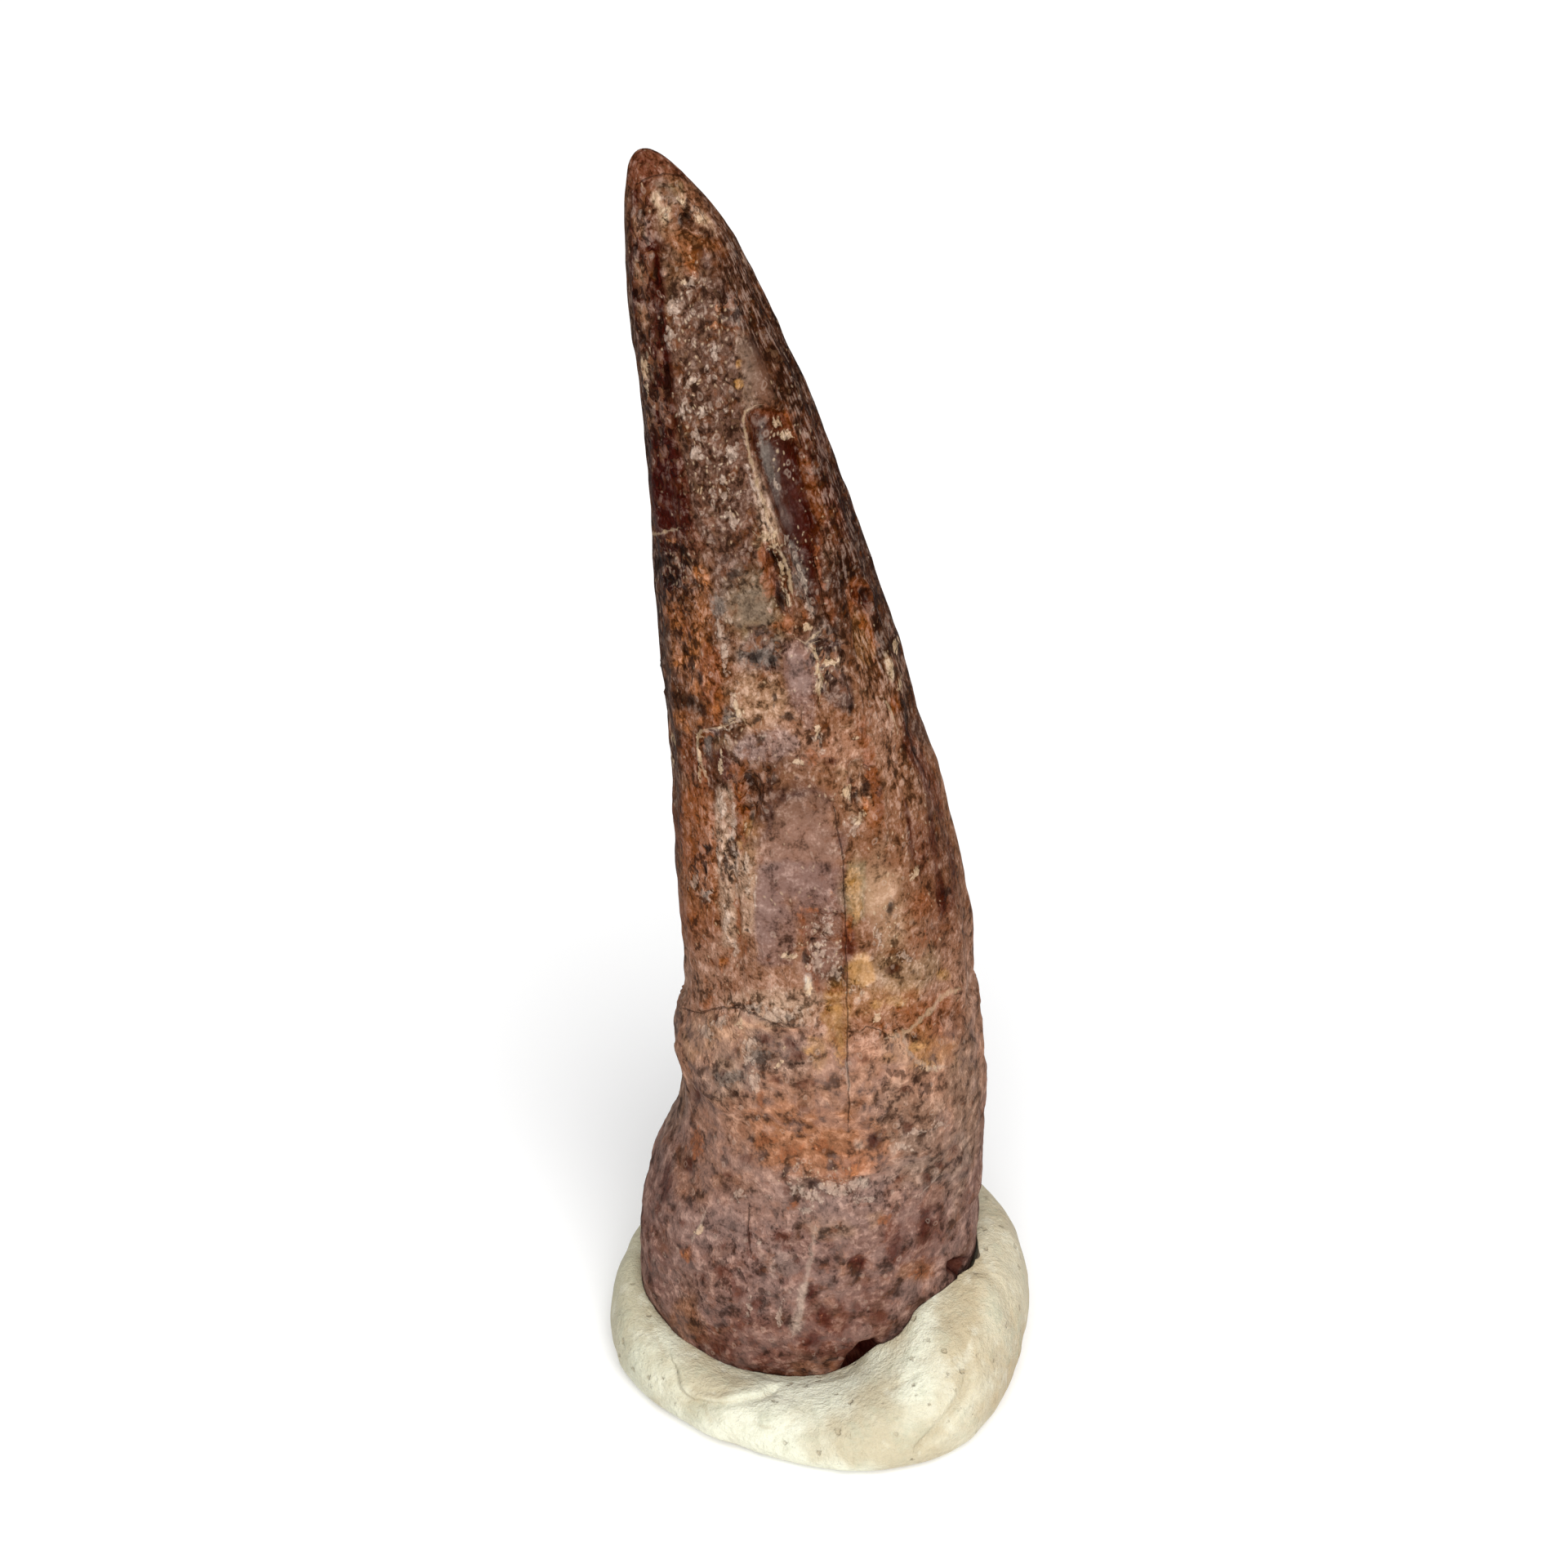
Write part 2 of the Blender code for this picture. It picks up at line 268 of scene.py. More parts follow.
def withBackTwin(spot, shuffle):
    turn, height, roundWay, upWay = spot
    twinTurn = (turn + backShift["turn"] + shuffle.uniform(-1, 1) * backShift["spread"]) % 360.0
    twinHeight = float(slidDown(height)) + shuffle.uniform(-1, 1) * backShift["rise"]
    twinHeight = min(max(twinHeight, backShift["lowest"]), backShift["highest"])
    return [spot, (twinTurn, twinHeight, roundWay, upWay)]


# Broad colours up the tooth's length: colour, height
grounds = [
    ("brown", 99.0), ("brown", 70.0), ("hazel", 60.0), ("hazel", 45.0), ("rose", 34.0), ("rose", 26.0),
    ("mauve", 18.0), ("mauve", 6.0), ("wine", 0.0),
]
# Softer areas over them: x, y, half width, half height, colour, weight, and a tilt where it has one
tints = [
    (800, 203, 30, 26, "hazel", 0.9), (784, 215, 9, 30, "wine", 0.6), (784, 330, 17, 120, "wine", 0.75),
    (800, 470, 22, 90, "wine", 0.7, -5), (806, 560, 24, 70, "maroon", 0.75, -6),
    (822, 620, 30, 70, "maroon", 0.7, -8), (838, 256, 34, 38, "hazel", 0.9, -14),
    (846, 312, 20, 30, "hazel", 0.9, -10), (828, 380, 12, 70, "tan", 0.7, -4),
    (862, 400, 30, 60, "ash", 0.5, -8), (896, 372, 16, 18, "soot", 0.9),
    (905, 450, 22, 60, "ash", 0.7, -12), (868, 540, 40, 90, "brown", 0.5, -8),
    (905, 620, 30, 70, "brown", 0.6, -8), (915, 330, 16, 90, "umber", 0.5, -19),
    (950, 430, 20, 90, "umber", 0.64, -18), (985, 500, 20, 80, "umber", 0.6, -16),
    (1020, 600, 22, 90, "wine", 0.7, -14), (1045, 690, 24, 80, "umber", 0.6, -12),
    (945, 590, 14, 80, "ash", 0.8, -14), (940, 650, 12, 30, "sand", 0.6, -10),
    (820, 694, 30, 30, "soot", 0.9), (858, 700, 12, 14, "orange", 0.5),
    (842, 800, 34, 80, "clay", 0.95, -4), (842, 800, 32, 78, "orange", 0.8, -4),
    (850, 870, 36, 50, "clay", 0.7, -4), (925, 745, 44, 50, "olive", 0.65),
    (932, 800, 30, 26, "slate", 0.7), (930, 862, 44, 40, "tan", 0.66), (978, 822, 24, 40, "mauve", 0.9),
    (1012, 800, 20, 44, "slate", 0.7), (1058, 800, 26, 90, "hazel", 0.7, -12),
    (1090, 850, 20, 90, "brown", 0.6, -14), (955, 915, 60, 34, "rose", 0.8),
    (877, 925, 18, 30, "hazel", 0.6), (850, 1010, 26, 70, "clay", 0.85, -2),
    (852, 1015, 26, 84, "salmon", 0.55, -2), (852, 1110, 28, 60, "rust", 0.7, -2),
    (895, 1060, 18, 110, "tan", 0.75, -2), (922, 1050, 9, 70, "sand", 0.45),
    (1055, 950, 34, 60, "tan", 0.7, -10), (1110, 950, 40, 120, "hazel", 0.8, -12),
    (1140, 980, 16, 110, "brown", 0.6, -12), (980, 1040, 52, 76, "mauve", 0.95),
    (942, 1110, 16, 60, "lilac", 0.8), (1050, 1085, 20, 44, "olive", 0.8, -4),
    (1085, 1110, 30, 60, "tan", 0.78, -6), (1156, 1090, 26, 90, "wine", 0.3, -8),
    (1126, 1107, 16, 20, "rust", 0.6), (1008, 1165, 28, 50, "mauve", 0.6),
    (1038, 1160, 14, 24, "maroon", 0.5), (1100, 1190, 60, 30, "olive", 0.5),
    (870, 1190, 50, 40, "rose", 0.5), (960, 1240, 36, 20, "sand", 0.9),
    (1023, 1250, 16, 34, "ochre", 0.8), (1080, 1225, 60, 20, "ochre", 0.38),
    (875, 1270, 50, 34, "tan", 0.6), (965, 1285, 46, 34, "slate", 0.36),
    (1126, 1274, 24, 20, "honey", 0.7), (1150, 1250, 40, 40, "rust", 0.8),
    (890, 1320, 40, 30, "ash", 0.7), (1000, 1380, 80, 40, "hazel", 0.5),
    (1000, 1390, 90, 42, "hazel", 0.6), (1040, 1412, 50, 18, "rust", 0.45),
    (1110, 1370, 50, 40, "ash", 0.5), (1000, 1458, 90, 24, "lilac", 0.5),
    (860, 1440, 50, 40, "hazel", 0.5), (955, 1545, 70, 60, "lilac", 0.35),
    (870, 1500, 34, 30, "lilac", 0.4), (905, 1560, 30, 26, "wine", 0.35),
    (1060, 1600, 34, 26, "wine", 0.35), (1000, 1530, 26, 30, "wine", 0.3),
    (1130, 1430, 40, 26, "ash", 0.5), (850, 1570, 30, 26, "brown", 0.35),
    (1020, 1500, 30, 16, "sand", 0.3), (1132, 1512, 22, 44, "wine", 0.45),
    (1095, 1520, 14, 30, "wine", 0.5), (1125, 1556, 26, 12, "hazel", 0.8),
    (1010, 1640, 40, 40, "wine", 0.7), (900, 1640, 70, 40, "wine", 0.45),
    (800, 1510, 14, 90, "plum", 0.4), (836, 1620, 16, 34, "hazel", 0.7),
    (1000, 1684, 90, 8, "umber", 0.35), (1185, 1350, 22, 120, "ash", 0.6),
    # The narrow maroon and umber tints on the next four lines, along the left and right outlines, are
    # partly the tooth's dark colour and partly painted shade where its sides turn away from the light.
    (776, 300, 8, 110, "maroon", 0.6), (792, 520, 8, 120, "umber", 0.8, -3),
    (802, 610, 12, 70, "maroon", 0.9, -3), (812, 690, 12, 40, "umber", 0.8, -3),
    (1000, 470, 10, 90, "umber", 0.6, -22), (1050, 620, 12, 90, "umber", 0.8, -18),
    (1082, 730, 12, 80, "umber", 0.8, -18), (1115, 850, 12, 80, "umber", 0.7, -16),
    (1030, 585, 12, 60, "umber", 0.6, -16), (980, 640, 18, 76, "umber", 0.8, -10),
    (1080, 1240, 50, 26, "clay", 0.4), (1130, 1285, 46, 24, "ochre", 0.35),
]

# Patches with a clear edge: rise in millimetres, colour, weight, then x, y round the edge
patches = [
    (0.0, "tip", 0.8, [(768, 222), (770, 186), (788, 176), (814, 184), (838, 208), (850, 222),
        (832, 217), (812, 213), (796, 219), (782, 226)]),
    (0.0, "moss", 0.6, [(802, 224), (818, 221), (824, 232), (822, 250), (810, 246), (804, 236)]),
    (0.04, "olive", 0.7, [(822, 222), (834, 223), (838, 232), (828, 236), (822, 232)]),
    (0.05, "cream", 0.75, [(799, 236), (805, 238), (810, 250), (804, 254), (799, 246)]),
    (0.05, "cream", 0.6, [(804, 254), (824, 252), (824, 272), (814, 276), (805, 270)]),
    (0.05, "sand", 0.7, [(830, 240), (840, 242), (846, 255), (840, 258), (832, 250)]),
    (-0.03, "umber", 0.7, [(825, 240), (830, 240), (835, 251), (830, 254)]),
    (0.03, "steelGreyAndSheen", 0.8, [(825, 260), (833, 258), (837, 270), (838, 280), (828, 278)]),
    (-0.1, "umber", 0.95, [(834, 262), (848, 258), (853, 266), (851, 279), (840, 280), (835, 272)]),
    (0.06, "sand", 0.8, [(851, 258), (858, 259), (870, 270), (866, 277), (854, 276)]),
    (0.05, "sand", 0.6, [(868, 270), (873, 274), (877, 290), (871, 288)]),
    (-0.05, "umber", 0.8, [(858, 284), (872, 287), (878, 298), (866, 293)]),
    (0.03, "tan", 0.6, [(804, 276), (828, 278), (824, 290), (812, 292)]),
    (0.02, "clay", 0.75, [(812, 292), (832, 284), (858, 288), (880, 298), (888, 308), (870, 306),
        (852, 304), (855, 322), (848, 340), (840, 322), (826, 305)]),
    (-0.03, "dusk", 0.8, [(852, 306), (862, 306), (868, 318), (866, 330), (857, 324)]),
    (-0.04, "soot", 0.75, [(886, 366), (900, 362), (907, 374), (914, 392), (904, 398), (890, 388)]),
    (-0.03, "maroon", 0.8, [(790, 282), (803, 294), (809, 330), (815, 362), (817, 402), (821, 440),
        (823, 480), (827, 530), (836, 562), (848, 600), (850, 640), (842, 666), (818, 652), (802, 640),
        (799, 600), (804, 540), (801, 480), (799, 430), (796, 380), (798, 340), (792, 310)]),
    (0.0, "wine", 0.45, [(828, 560), (846, 560), (862, 620), (872, 664), (850, 684), (842, 660),
        (846, 620)]),
    (0.0, "dusk", 0.6, [(884, 348), (901, 362), (914, 394), (902, 404), (887, 391), (880, 370)]),
    (0.0, "brown", 0.75, [(820, 342), (884, 345), (902, 430), (910, 500), (915, 560), (935, 650),
        (925, 694), (884, 690), (852, 640), (838, 560), (826, 480), (818, 410)]),
    (0.0, "dusk", 0.46, [(820, 342), (884, 345), (902, 430), (910, 500), (915, 560), (935, 650),
        (925, 694), (884, 690), (852, 640), (838, 560), (826, 480), (818, 410)]),
    (0.0, "soot", 0.85, [(802, 664), (824, 668), (836, 684), (843, 700), (838, 722), (812, 724),
        (804, 700)]),
    (0.0, "maroon", 0.58, [(802, 664), (824, 668), (836, 684), (843, 700), (838, 722), (812, 724),
        (804, 700)]),
    (0.0, "hazel", 0.5, [(822, 682), (830, 678), (833, 690), (828, 698), (822, 694)]),
    (0.04, "orange", 0.7, [(847, 690), (858, 691), (867, 702), (873, 713), (862, 717), (852, 707)]),
    (-0.05, "soot", 0.85, [(842, 702), (848, 704), (862, 718), (858, 723), (846, 716)]),
    (0.0, "soot", 0.6, [(836, 722), (850, 724), (852, 736), (842, 738)]),
    (0.03, "clay", 0.75, [(808, 738), (834, 738), (838, 750), (826, 756), (810, 752)]),
    (0.03, "clay", 0.7, [(822, 756), (836, 756), (843, 774), (840, 789), (828, 785), (822, 770)]),
    (-0.04, "soot", 0.5, [(858, 764), (872, 759), (880, 776), (882, 790), (868, 788), (857, 780)]),
    (-0.03, "soot", 0.42, [(812, 756), (819, 762), (820, 800), (822, 840), (816, 836), (813, 800)]),
    (-0.03, "soot", 0.5, [(844, 776), (852, 778), (852, 794), (846, 792)]),
    (0.03, "brick", 0.8, [(862, 788), (881, 792), (887, 812), (885, 850), (872, 858), (860, 852),
        (857, 820)]),
    (0.0, "dusk", 0.5, [(822, 815), (846, 812), (860, 822), (858, 836), (832, 836), (820, 828)]),
    (0.05, "orange", 0.7, [(841, 836), (850, 832), (861, 842), (854, 853), (842, 850)]),
    (-0.03, "soot", 0.6, [(830, 851), (850, 852), (866, 862), (862, 870), (846, 868), (834, 862)]),
    (0.03, "amber", 0.85, [(864, 862), (878, 857), (889, 872), (886, 887), (868, 889), (861, 876)]),
    (-0.05, "soot", 0.85, [(857, 866), (866, 865), (868, 875), (860, 878)]),
    (0.02, "clay", 0.5, [(822, 868), (846, 872), (858, 884), (852, 898), (834, 894), (822, 884)]),
    (0.0, "brick", 0.65, [(834, 902), (852, 898), (854, 926), (858, 944), (846, 950), (834, 936)]),
    (0.04, "lilac", 0.75, [(862, 892), (880, 889), (882, 899), (864, 902)]),
    (-0.04, "dusk", 0.8, [(864, 904), (872, 903), (875, 924), (872, 938), (866, 930)]),
    (0.03, "tan", 0.6, [(778, 316), (790, 321), (792, 345), (784, 352), (778, 340)]),
    (0.03, "tan", 0.55, [(780, 372), (792, 376), (794, 398), (786, 404)]),
    (0.03, "ash", 0.65, [(785, 430), (797, 436), (798, 462), (790, 470), (786, 450)]),
    (0.03, "tan", 0.5, [(790, 500), (800, 506), (802, 528), (794, 532)]),
    (0.03, "tan", 0.55, [(775, 262), (788, 268), (790, 286), (779, 288)]),
    (0.05, "chalk", 0.28, [(880, 764), (888, 761), (893, 775), (897, 796), (889, 801), (882, 785)]),
    (-0.04, "slate", 0.85, [(889, 862), (899, 860), (904, 871), (899, 882), (891, 880)]),
    (0.04, "sand", 0.7, [(921, 664), (932, 654), (946, 654), (955, 662), (946, 669), (936, 668),
        (929, 675)]),
    (0.0, "glass", 0.9, [(914, 507), (943, 500), (961, 503), (981, 549), (999, 592), (1010, 632),
        (1006, 680), (1003, 750), (990, 748), (969, 689), (948, 628), (930, 571), (918, 545)]),
    (0.0, "amber", 0.85, [(982, 558), (990, 562), (1003, 598), (1013, 632), (1013, 654), (1006, 642),
        (999, 618), (989, 590)]),
    (0.0, "brick", 0.75, [(915, 505), (940, 499), (963, 502), (978, 538), (970, 544), (951, 516),
        (930, 511)]),
    # The steel patches inside the big chip are partly a blue-grey colour and partly a painted sheen of
    # reflected light along its glossy streak.
    (0.02, "steelGreyAndSheen", 0.85, [(931, 520), (938, 516), (947, 540), (955, 562), (960, 588), (960, 612),
        (955, 628), (948, 612), (943, 590), (938, 566), (933, 542)]),
    (0.0, "steelGreyAndSheen", 0.55, [(956, 620), (966, 626), (978, 652), (970, 657), (959, 645)]),
    (0.02, "steelGreyAndSheen", 0.6, [(972, 668), (984, 666), (997, 700), (1003, 748), (996, 757), (986, 740),
        (976, 705)]),
    (0.03, "flax", 0.48, [(924, 568), (930, 582), (937, 612), (944, 636), (953, 650), (952, 664),
        (936, 664), (930, 640), (922, 600)]),
    (0.0, "brick", 0.9, [(931, 666), (944, 664), (946, 690), (952, 722), (946, 726), (936, 702)]),
    (0.0, "black", 0.8, [(946, 668), (955, 674), (957, 700), (950, 704), (946, 690)]),
    (0.03, "peach", 0.7, [(943, 698), (950, 700), (955, 714), (948, 716)]),
    (0.0, "black", 0.8, [(950, 730), (958, 728), (962, 746), (956, 752)]),
    (0.03, "orange", 0.6, [(954, 752), (966, 752), (972, 762), (960, 768)]),
    (0.05, "moss", 0.5, [(884, 706), (902, 696), (925, 701), (936, 716), (943, 738), (951, 757),
        (942, 766), (924, 762), (906, 768), (888, 758), (881, 738), (886, 720)]),
    (0.0, "dusk", 0.4, [(874, 684), (900, 680), (922, 688), (912, 702), (898, 722), (884, 732),
        (876, 712)]),
    (0.03, "moss", 0.4, [(900, 726), (922, 720), (938, 736), (940, 756), (916, 762), (904, 748)]),
    (-0.05, "dusk", 0.75, [(914, 766), (942, 768), (946, 786), (956, 806), (959, 822), (940, 823),
        (920, 818), (915, 801), (906, 791), (917, 781)]),
    (0.04, "tan", 0.3, [(904, 820), (924, 819), (940, 825), (956, 823), (963, 850), (958, 876),
        (945, 890), (926, 894), (913, 880), (906, 851), (901, 831)]),
    (0.06, "mauve", 0.6, [(955, 800), (968, 792), (986, 795), (998, 809), (1001, 840), (998, 862),
        (999, 893), (985, 895), (976, 872), (966, 850), (960, 825)]),
    (0.0, "lilac", 0.58, [(962, 802), (980, 798), (992, 812), (994, 845), (984, 850), (968, 835)]),
    (-0.04, "dusk", 0.85, [(1003, 780), (1020, 775), (1030, 790), (1023, 803), (1006, 802),
        (998, 795)]),
    (0.04, "tan", 0.7, [(1002, 806), (1014, 803), (1025, 808), (1022, 816), (1008, 813)]),
    (-0.03, "brick", 0.6, [(1009, 728), (1016, 732), (1022, 750), (1022, 766), (1014, 764),
        (1010, 748)]),
    (0.03, "amber", 0.8, [(1042, 712), (1052, 708), (1062, 716), (1064, 730), (1056, 742), (1046, 748),
        (1041, 730)]),
    (-0.05, "soot", 0.85, [(1060, 724), (1068, 728), (1070, 744), (1062, 752), (1056, 746),
        (1060, 736)]),
    (0.02, "honey", 0.6, [(1044, 750), (1062, 752), (1070, 775), (1074, 800), (1068, 815), (1052, 812),
        (1045, 790)]),
    (0.04, "orange", 0.5, [(1062, 752), (1068, 752), (1073, 775), (1074, 795), (1068, 792),
        (1064, 775)]),
    (-0.05, "soot", 0.7, [(1071, 732), (1077, 738), (1081, 765), (1085, 790), (1081, 816), (1076, 812),
        (1075, 780)]),
    (0.03, "olive", 0.7, [(1083, 800), (1089, 806), (1094, 824), (1090, 836), (1085, 822)]),
    (0.0, "amber", 0.7, [(1090, 852), (1098, 854), (1102, 868), (1096, 876), (1090, 864)]),
    (-0.03, "umber", 0.7, [(1107, 862), (1112, 880), (1118, 900), (1124, 922), (1134, 945), (1140, 958),
        (1134, 958), (1118, 935), (1108, 915), (1104, 885)]),
    (0.02, "clay", 0.5, [(1122, 902), (1132, 912), (1146, 950), (1154, 990), (1146, 990), (1134, 950)]),
    (0.0, "rose", 0.45, [(1062, 870), (1086, 868), (1096, 890), (1102, 930), (1098, 960), (1084, 940),
        (1074, 905)]),
    (-0.04, "black", 0.8, [(1037, 852), (1042, 853), (1041, 876), (1036, 874)]),
    (-0.05, "dusk", 0.85, [(1003, 821), (1024, 815), (1040, 830), (1042, 860), (1036, 874), (1020, 868),
        (1006, 851), (1002, 836)]),
    (0.05, "lilac", 0.75, [(900, 906), (924, 899), (946, 895), (961, 893), (976, 901), (981, 916),
        (961, 926), (930, 929), (909, 931), (899, 920)]),
    (0.05, "peach", 0.7, [(1010, 896), (1050, 893), (1057, 901), (1058, 930), (1040, 941), (1016, 936),
        (1006, 916)]),
    (-0.04, "plum", 0.65, [(880, 912), (890, 914), (896, 930), (898, 952), (886, 956), (880, 934)]),
    (0.0, "tan", 0.5, [(874, 902), (896, 900), (900, 914), (890, 920), (876, 916)]),
    (0.0, "wine", 0.65, [(1104, 880), (1120, 898), (1150, 960), (1166, 1004), (1150, 1004), (1130, 962),
        (1111, 922)]),
    (0.03, "amber", 0.92, [(1046, 880), (1054, 884), (1062, 905), (1070, 925), (1078, 955), (1083, 990),
        (1080, 1010), (1066, 1014), (1073, 985), (1066, 955), (1057, 930), (1050, 905)]),
    (0.03, "orange", 0.5, [(1060, 986), (1068, 982), (1076, 996), (1072, 1010), (1062, 1010)]),
    (-0.05, "soot", 0.8, [(1062, 960), (1069, 962), (1068, 976), (1060, 978)]),
    (-0.05, "soot", 0.7, [(1044, 974), (1056, 976), (1054, 992), (1048, 990)]),
    (0.04, "flax", 0.6, [(1034, 962), (1044, 964), (1046, 978), (1040, 996), (1036, 984)]),
    (0.0, "amber", 0.92, [(903, 938), (914, 940), (917, 974), (911, 990), (919, 1004), (914, 1024),
        (904, 1012)]),
    (0.0, "brown", 0.6, [(914, 942), (938, 944), (942, 975), (931, 988), (918, 976)]),
    (0.04, "ochre", 0.6, [(908, 1004), (921, 1002), (926, 1017), (914, 1024)]),
    (-0.05, "black", 0.75, [(908, 950), (918, 948), (922, 966), (914, 972)]),
    (-0.05, "black", 0.7, [(914, 984), (922, 986), (921, 1002), (915, 1000)]),
    (-0.03, "clay", 0.6, [(842, 976), (872, 970), (876, 1000), (877, 1040), (879, 1108), (870, 1126),
        (846, 1120), (838, 1090), (841, 1040), (838, 1000)]),
    (0.07, "flax", 0.65, [(878, 966), (900, 960), (904, 1000), (901, 1040), (904, 1100), (905, 1162),
        (886, 1160), (881, 1110), (880, 1040), (878, 1000)]),
    (0.05, "flax", 0.6, [(906, 1036), (925, 1050), (927, 1100), (925, 1141), (911, 1140), (907, 1100)]),
    (-0.06, "clay", 0.8, [(902, 1098), (907, 1099), (909, 1140), (914, 1176), (905, 1178),
        (902, 1140)]),
    (0.05, "rose", 0.45, [(950, 985), (1000, 970), (1021, 990), (1029, 1052), (1000, 1059), (962, 1051),
        (930, 1056), (930, 1030), (944, 1020)]),
    (0.05, "mauve", 0.75, [(928, 1061), (955, 1063), (963, 1100), (976, 1140), (972, 1181), (950, 1183),
        (930, 1175), (926, 1120)]),
    (0.05, "mauve", 0.5, [(980, 1060), (1033, 1058), (1035, 1115), (1010, 1119), (981, 1111)]),
    (0.05, "olive", 0.8, [(1037, 1055), (1060, 1058), (1058, 1121), (1041, 1129), (1037, 1100)]),
    (0.04, "sand", 0.35, [(1061, 1060), (1085, 1062), (1093, 1090), (1086, 1111), (1070, 1121),
        (1061, 1120)]),
    (0.08, "ochre", 0.95, [(1041, 1172), (1058, 1168), (1070, 1184), (1073, 1200), (1060, 1207),
        (1042, 1203), (1037, 1188)]),
    (-0.05, "wine", 0.75, [(1036, 1128), (1046, 1140), (1051, 1160), (1042, 1176), (1034, 1181),
        (1027, 1160)]),
    (-0.02, "wine", 0.42, [(1113, 1000), (1135, 1010), (1137, 1060), (1124, 1081), (1116, 1040)]),
    (-0.02, "wine", 0.5, [(1148, 1080), (1166, 1084), (1168, 1106), (1156, 1122), (1146, 1104)]),
    (0.03, "flax", 0.56, [(884, 1222), (912, 1212), (950, 1206), (996, 1210), (1012, 1230), (996, 1254),
        (950, 1252), (905, 1238)]),
    (0.06, "flax", 0.85, [(930, 1234), (940, 1223), (960, 1217), (986, 1224), (1001, 1235), (985, 1251),
        (960, 1256), (945, 1246)]),
    (-0.04, "dusk", 0.24, [(930, 1264), (960, 1258), (982, 1270), (986, 1300), (972, 1310), (950, 1302),
        (932, 1296)]),
    (-0.03, "honey", 0.85, [(1008, 1240), (1019, 1222), (1036, 1219), (1037, 1262), (1035, 1300),
        (1026, 1284), (1016, 1260)]),
    (0.0, "ochre", 0.45, [(988, 1268), (1008, 1266), (1012, 1300), (1002, 1312), (992, 1296)]),
    (0.03, "peach", 0.6, [(1040, 1264), (1074, 1268), (1081, 1290), (1060, 1301), (1046, 1311),
        (1040, 1292)]),
    (-0.03, "honey", 0.65, [(1113, 1262), (1130, 1262), (1142, 1284), (1134, 1302), (1118, 1298),
        (1108, 1282)]),
    (-0.03, "brown", 0.55, [(1148, 1238), (1170, 1232), (1184, 1256), (1176, 1276), (1154, 1268)]),
    (0.05, "orange", 0.36, [(908, 1358), (960, 1346), (1020, 1352), (1064, 1362), (1092, 1400),
        (1070, 1432), (1020, 1446), (960, 1432), (918, 1420), (928, 1390)]),
    # a painted glint: a small white highlight on the crown
    (0.05, "paintedGlint", 0.95, [(985, 1196), (991, 1194), (995, 1210), (991, 1220), (986, 1209)]),
    (-0.03, "dusk", 0.5, [(846, 1318), (868, 1322), (872, 1344), (856, 1352), (844, 1340)]),
    (-0.06, "umber", 0.8, [(1061, 1386), (1071, 1382), (1080, 1392), (1075, 1406), (1064, 1404)]),
    (0.03, "chalk", 0.5, [(1046, 1394), (1054, 1393), (1055, 1402), (1047, 1403)]),
    (0.03, "chalk", 0.5, [(1086, 1400), (1095, 1400), (1096, 1409), (1087, 1410)]),
    (-0.03, "umber", 0.6, [(976, 1350), (986, 1346), (997, 1354), (991, 1361), (980, 1359)]),
    (-0.02, "umber", 0.5, [(1048, 1364), (1060, 1360), (1065, 1372), (1054, 1380)]),
    (0.0, "dusk", 0.6, [(1094, 1366), (1106, 1364), (1114, 1380), (1106, 1388), (1098, 1380)]),
    (0.0, "dusk", 0.6, [(904, 1412), (918, 1408), (929, 1424), (920, 1434), (908, 1424)]),
    (0.0, "amber", 0.75, [(1009, 1440), (1020, 1437), (1023, 1448), (1012, 1451)]),
    (0.0, "amber", 0.6, [(965, 1467), (976, 1464), (978, 1477), (967, 1479)]),
    (0.04, "chalk", 0.6, [(967, 1450), (984, 1449), (988, 1459), (972, 1461)]),
    (0.04, "chalk", 0.6, [(984, 1458), (1008, 1458), (1006, 1467), (988, 1468)]),
    (0.04, "chalk", 0.7, [(1051, 1440), (1062, 1438), (1064, 1450), (1054, 1453)]),
    (0.0, "dusk", 0.55, [(986, 1440), (1000, 1438), (1004, 1450), (990, 1452)]),
    (0.0, "lilac", 0.45, [(1002, 1458), (1080, 1452), (1086, 1480), (1050, 1500), (1006, 1496)]),
    (0.0, "tan", 0.4, [(1058, 1482), (1080, 1478), (1082, 1496), (1064, 1504)]),
    (0.0, "plum", 0.4, [(918, 1536), (945, 1534), (984, 1545), (982, 1572), (948, 1578), (924, 1562)]),
    (0.03, "lilac", 0.6, [(948, 1534), (958, 1534), (961, 1548), (952, 1552)]),
    (0.04, "chalk", 0.42, [(980, 1572), (989, 1568), (985, 1600), (982, 1625), (972, 1636), (966, 1620),
        (975, 1600)]),
    (-0.03, "wine", 0.65, [(990, 1570), (1002, 1572), (999, 1596), (988, 1602)]),
    (0.03, "peach", 0.55, [(1027, 1530), (1036, 1532), (1036, 1560), (1028, 1558)]),
    (0.0, "umber", 0.6, [(842, 1410), (852, 1404), (857, 1420), (848, 1437), (840, 1428)]),
    (0.0, "rust", 0.8, [(835, 1528), (848, 1523), (853, 1534), (845, 1543), (836, 1539)]),
    (0.03, "lilac", 0.5, [(1111, 1506), (1120, 1503), (1122, 1530), (1113, 1534)]),
    (-0.02, "wine", 0.5, [(1064, 1602), (1088, 1606), (1087, 1640), (1066, 1632)]),
    (-0.02, "umber", 0.4, [(858, 1642), (890, 1646), (888, 1660), (868, 1658)]),
    (0.0, "slate", 0.3, [(1098, 1384), (1140, 1376), (1184, 1390), (1186, 1440), (1130, 1452),
        (1100, 1424)]),
    (0.0, "wine", 0.22, [(1088, 1502), (1104, 1472), (1140, 1462), (1158, 1490), (1150, 1546),
        (1124, 1566), (1096, 1545)]),
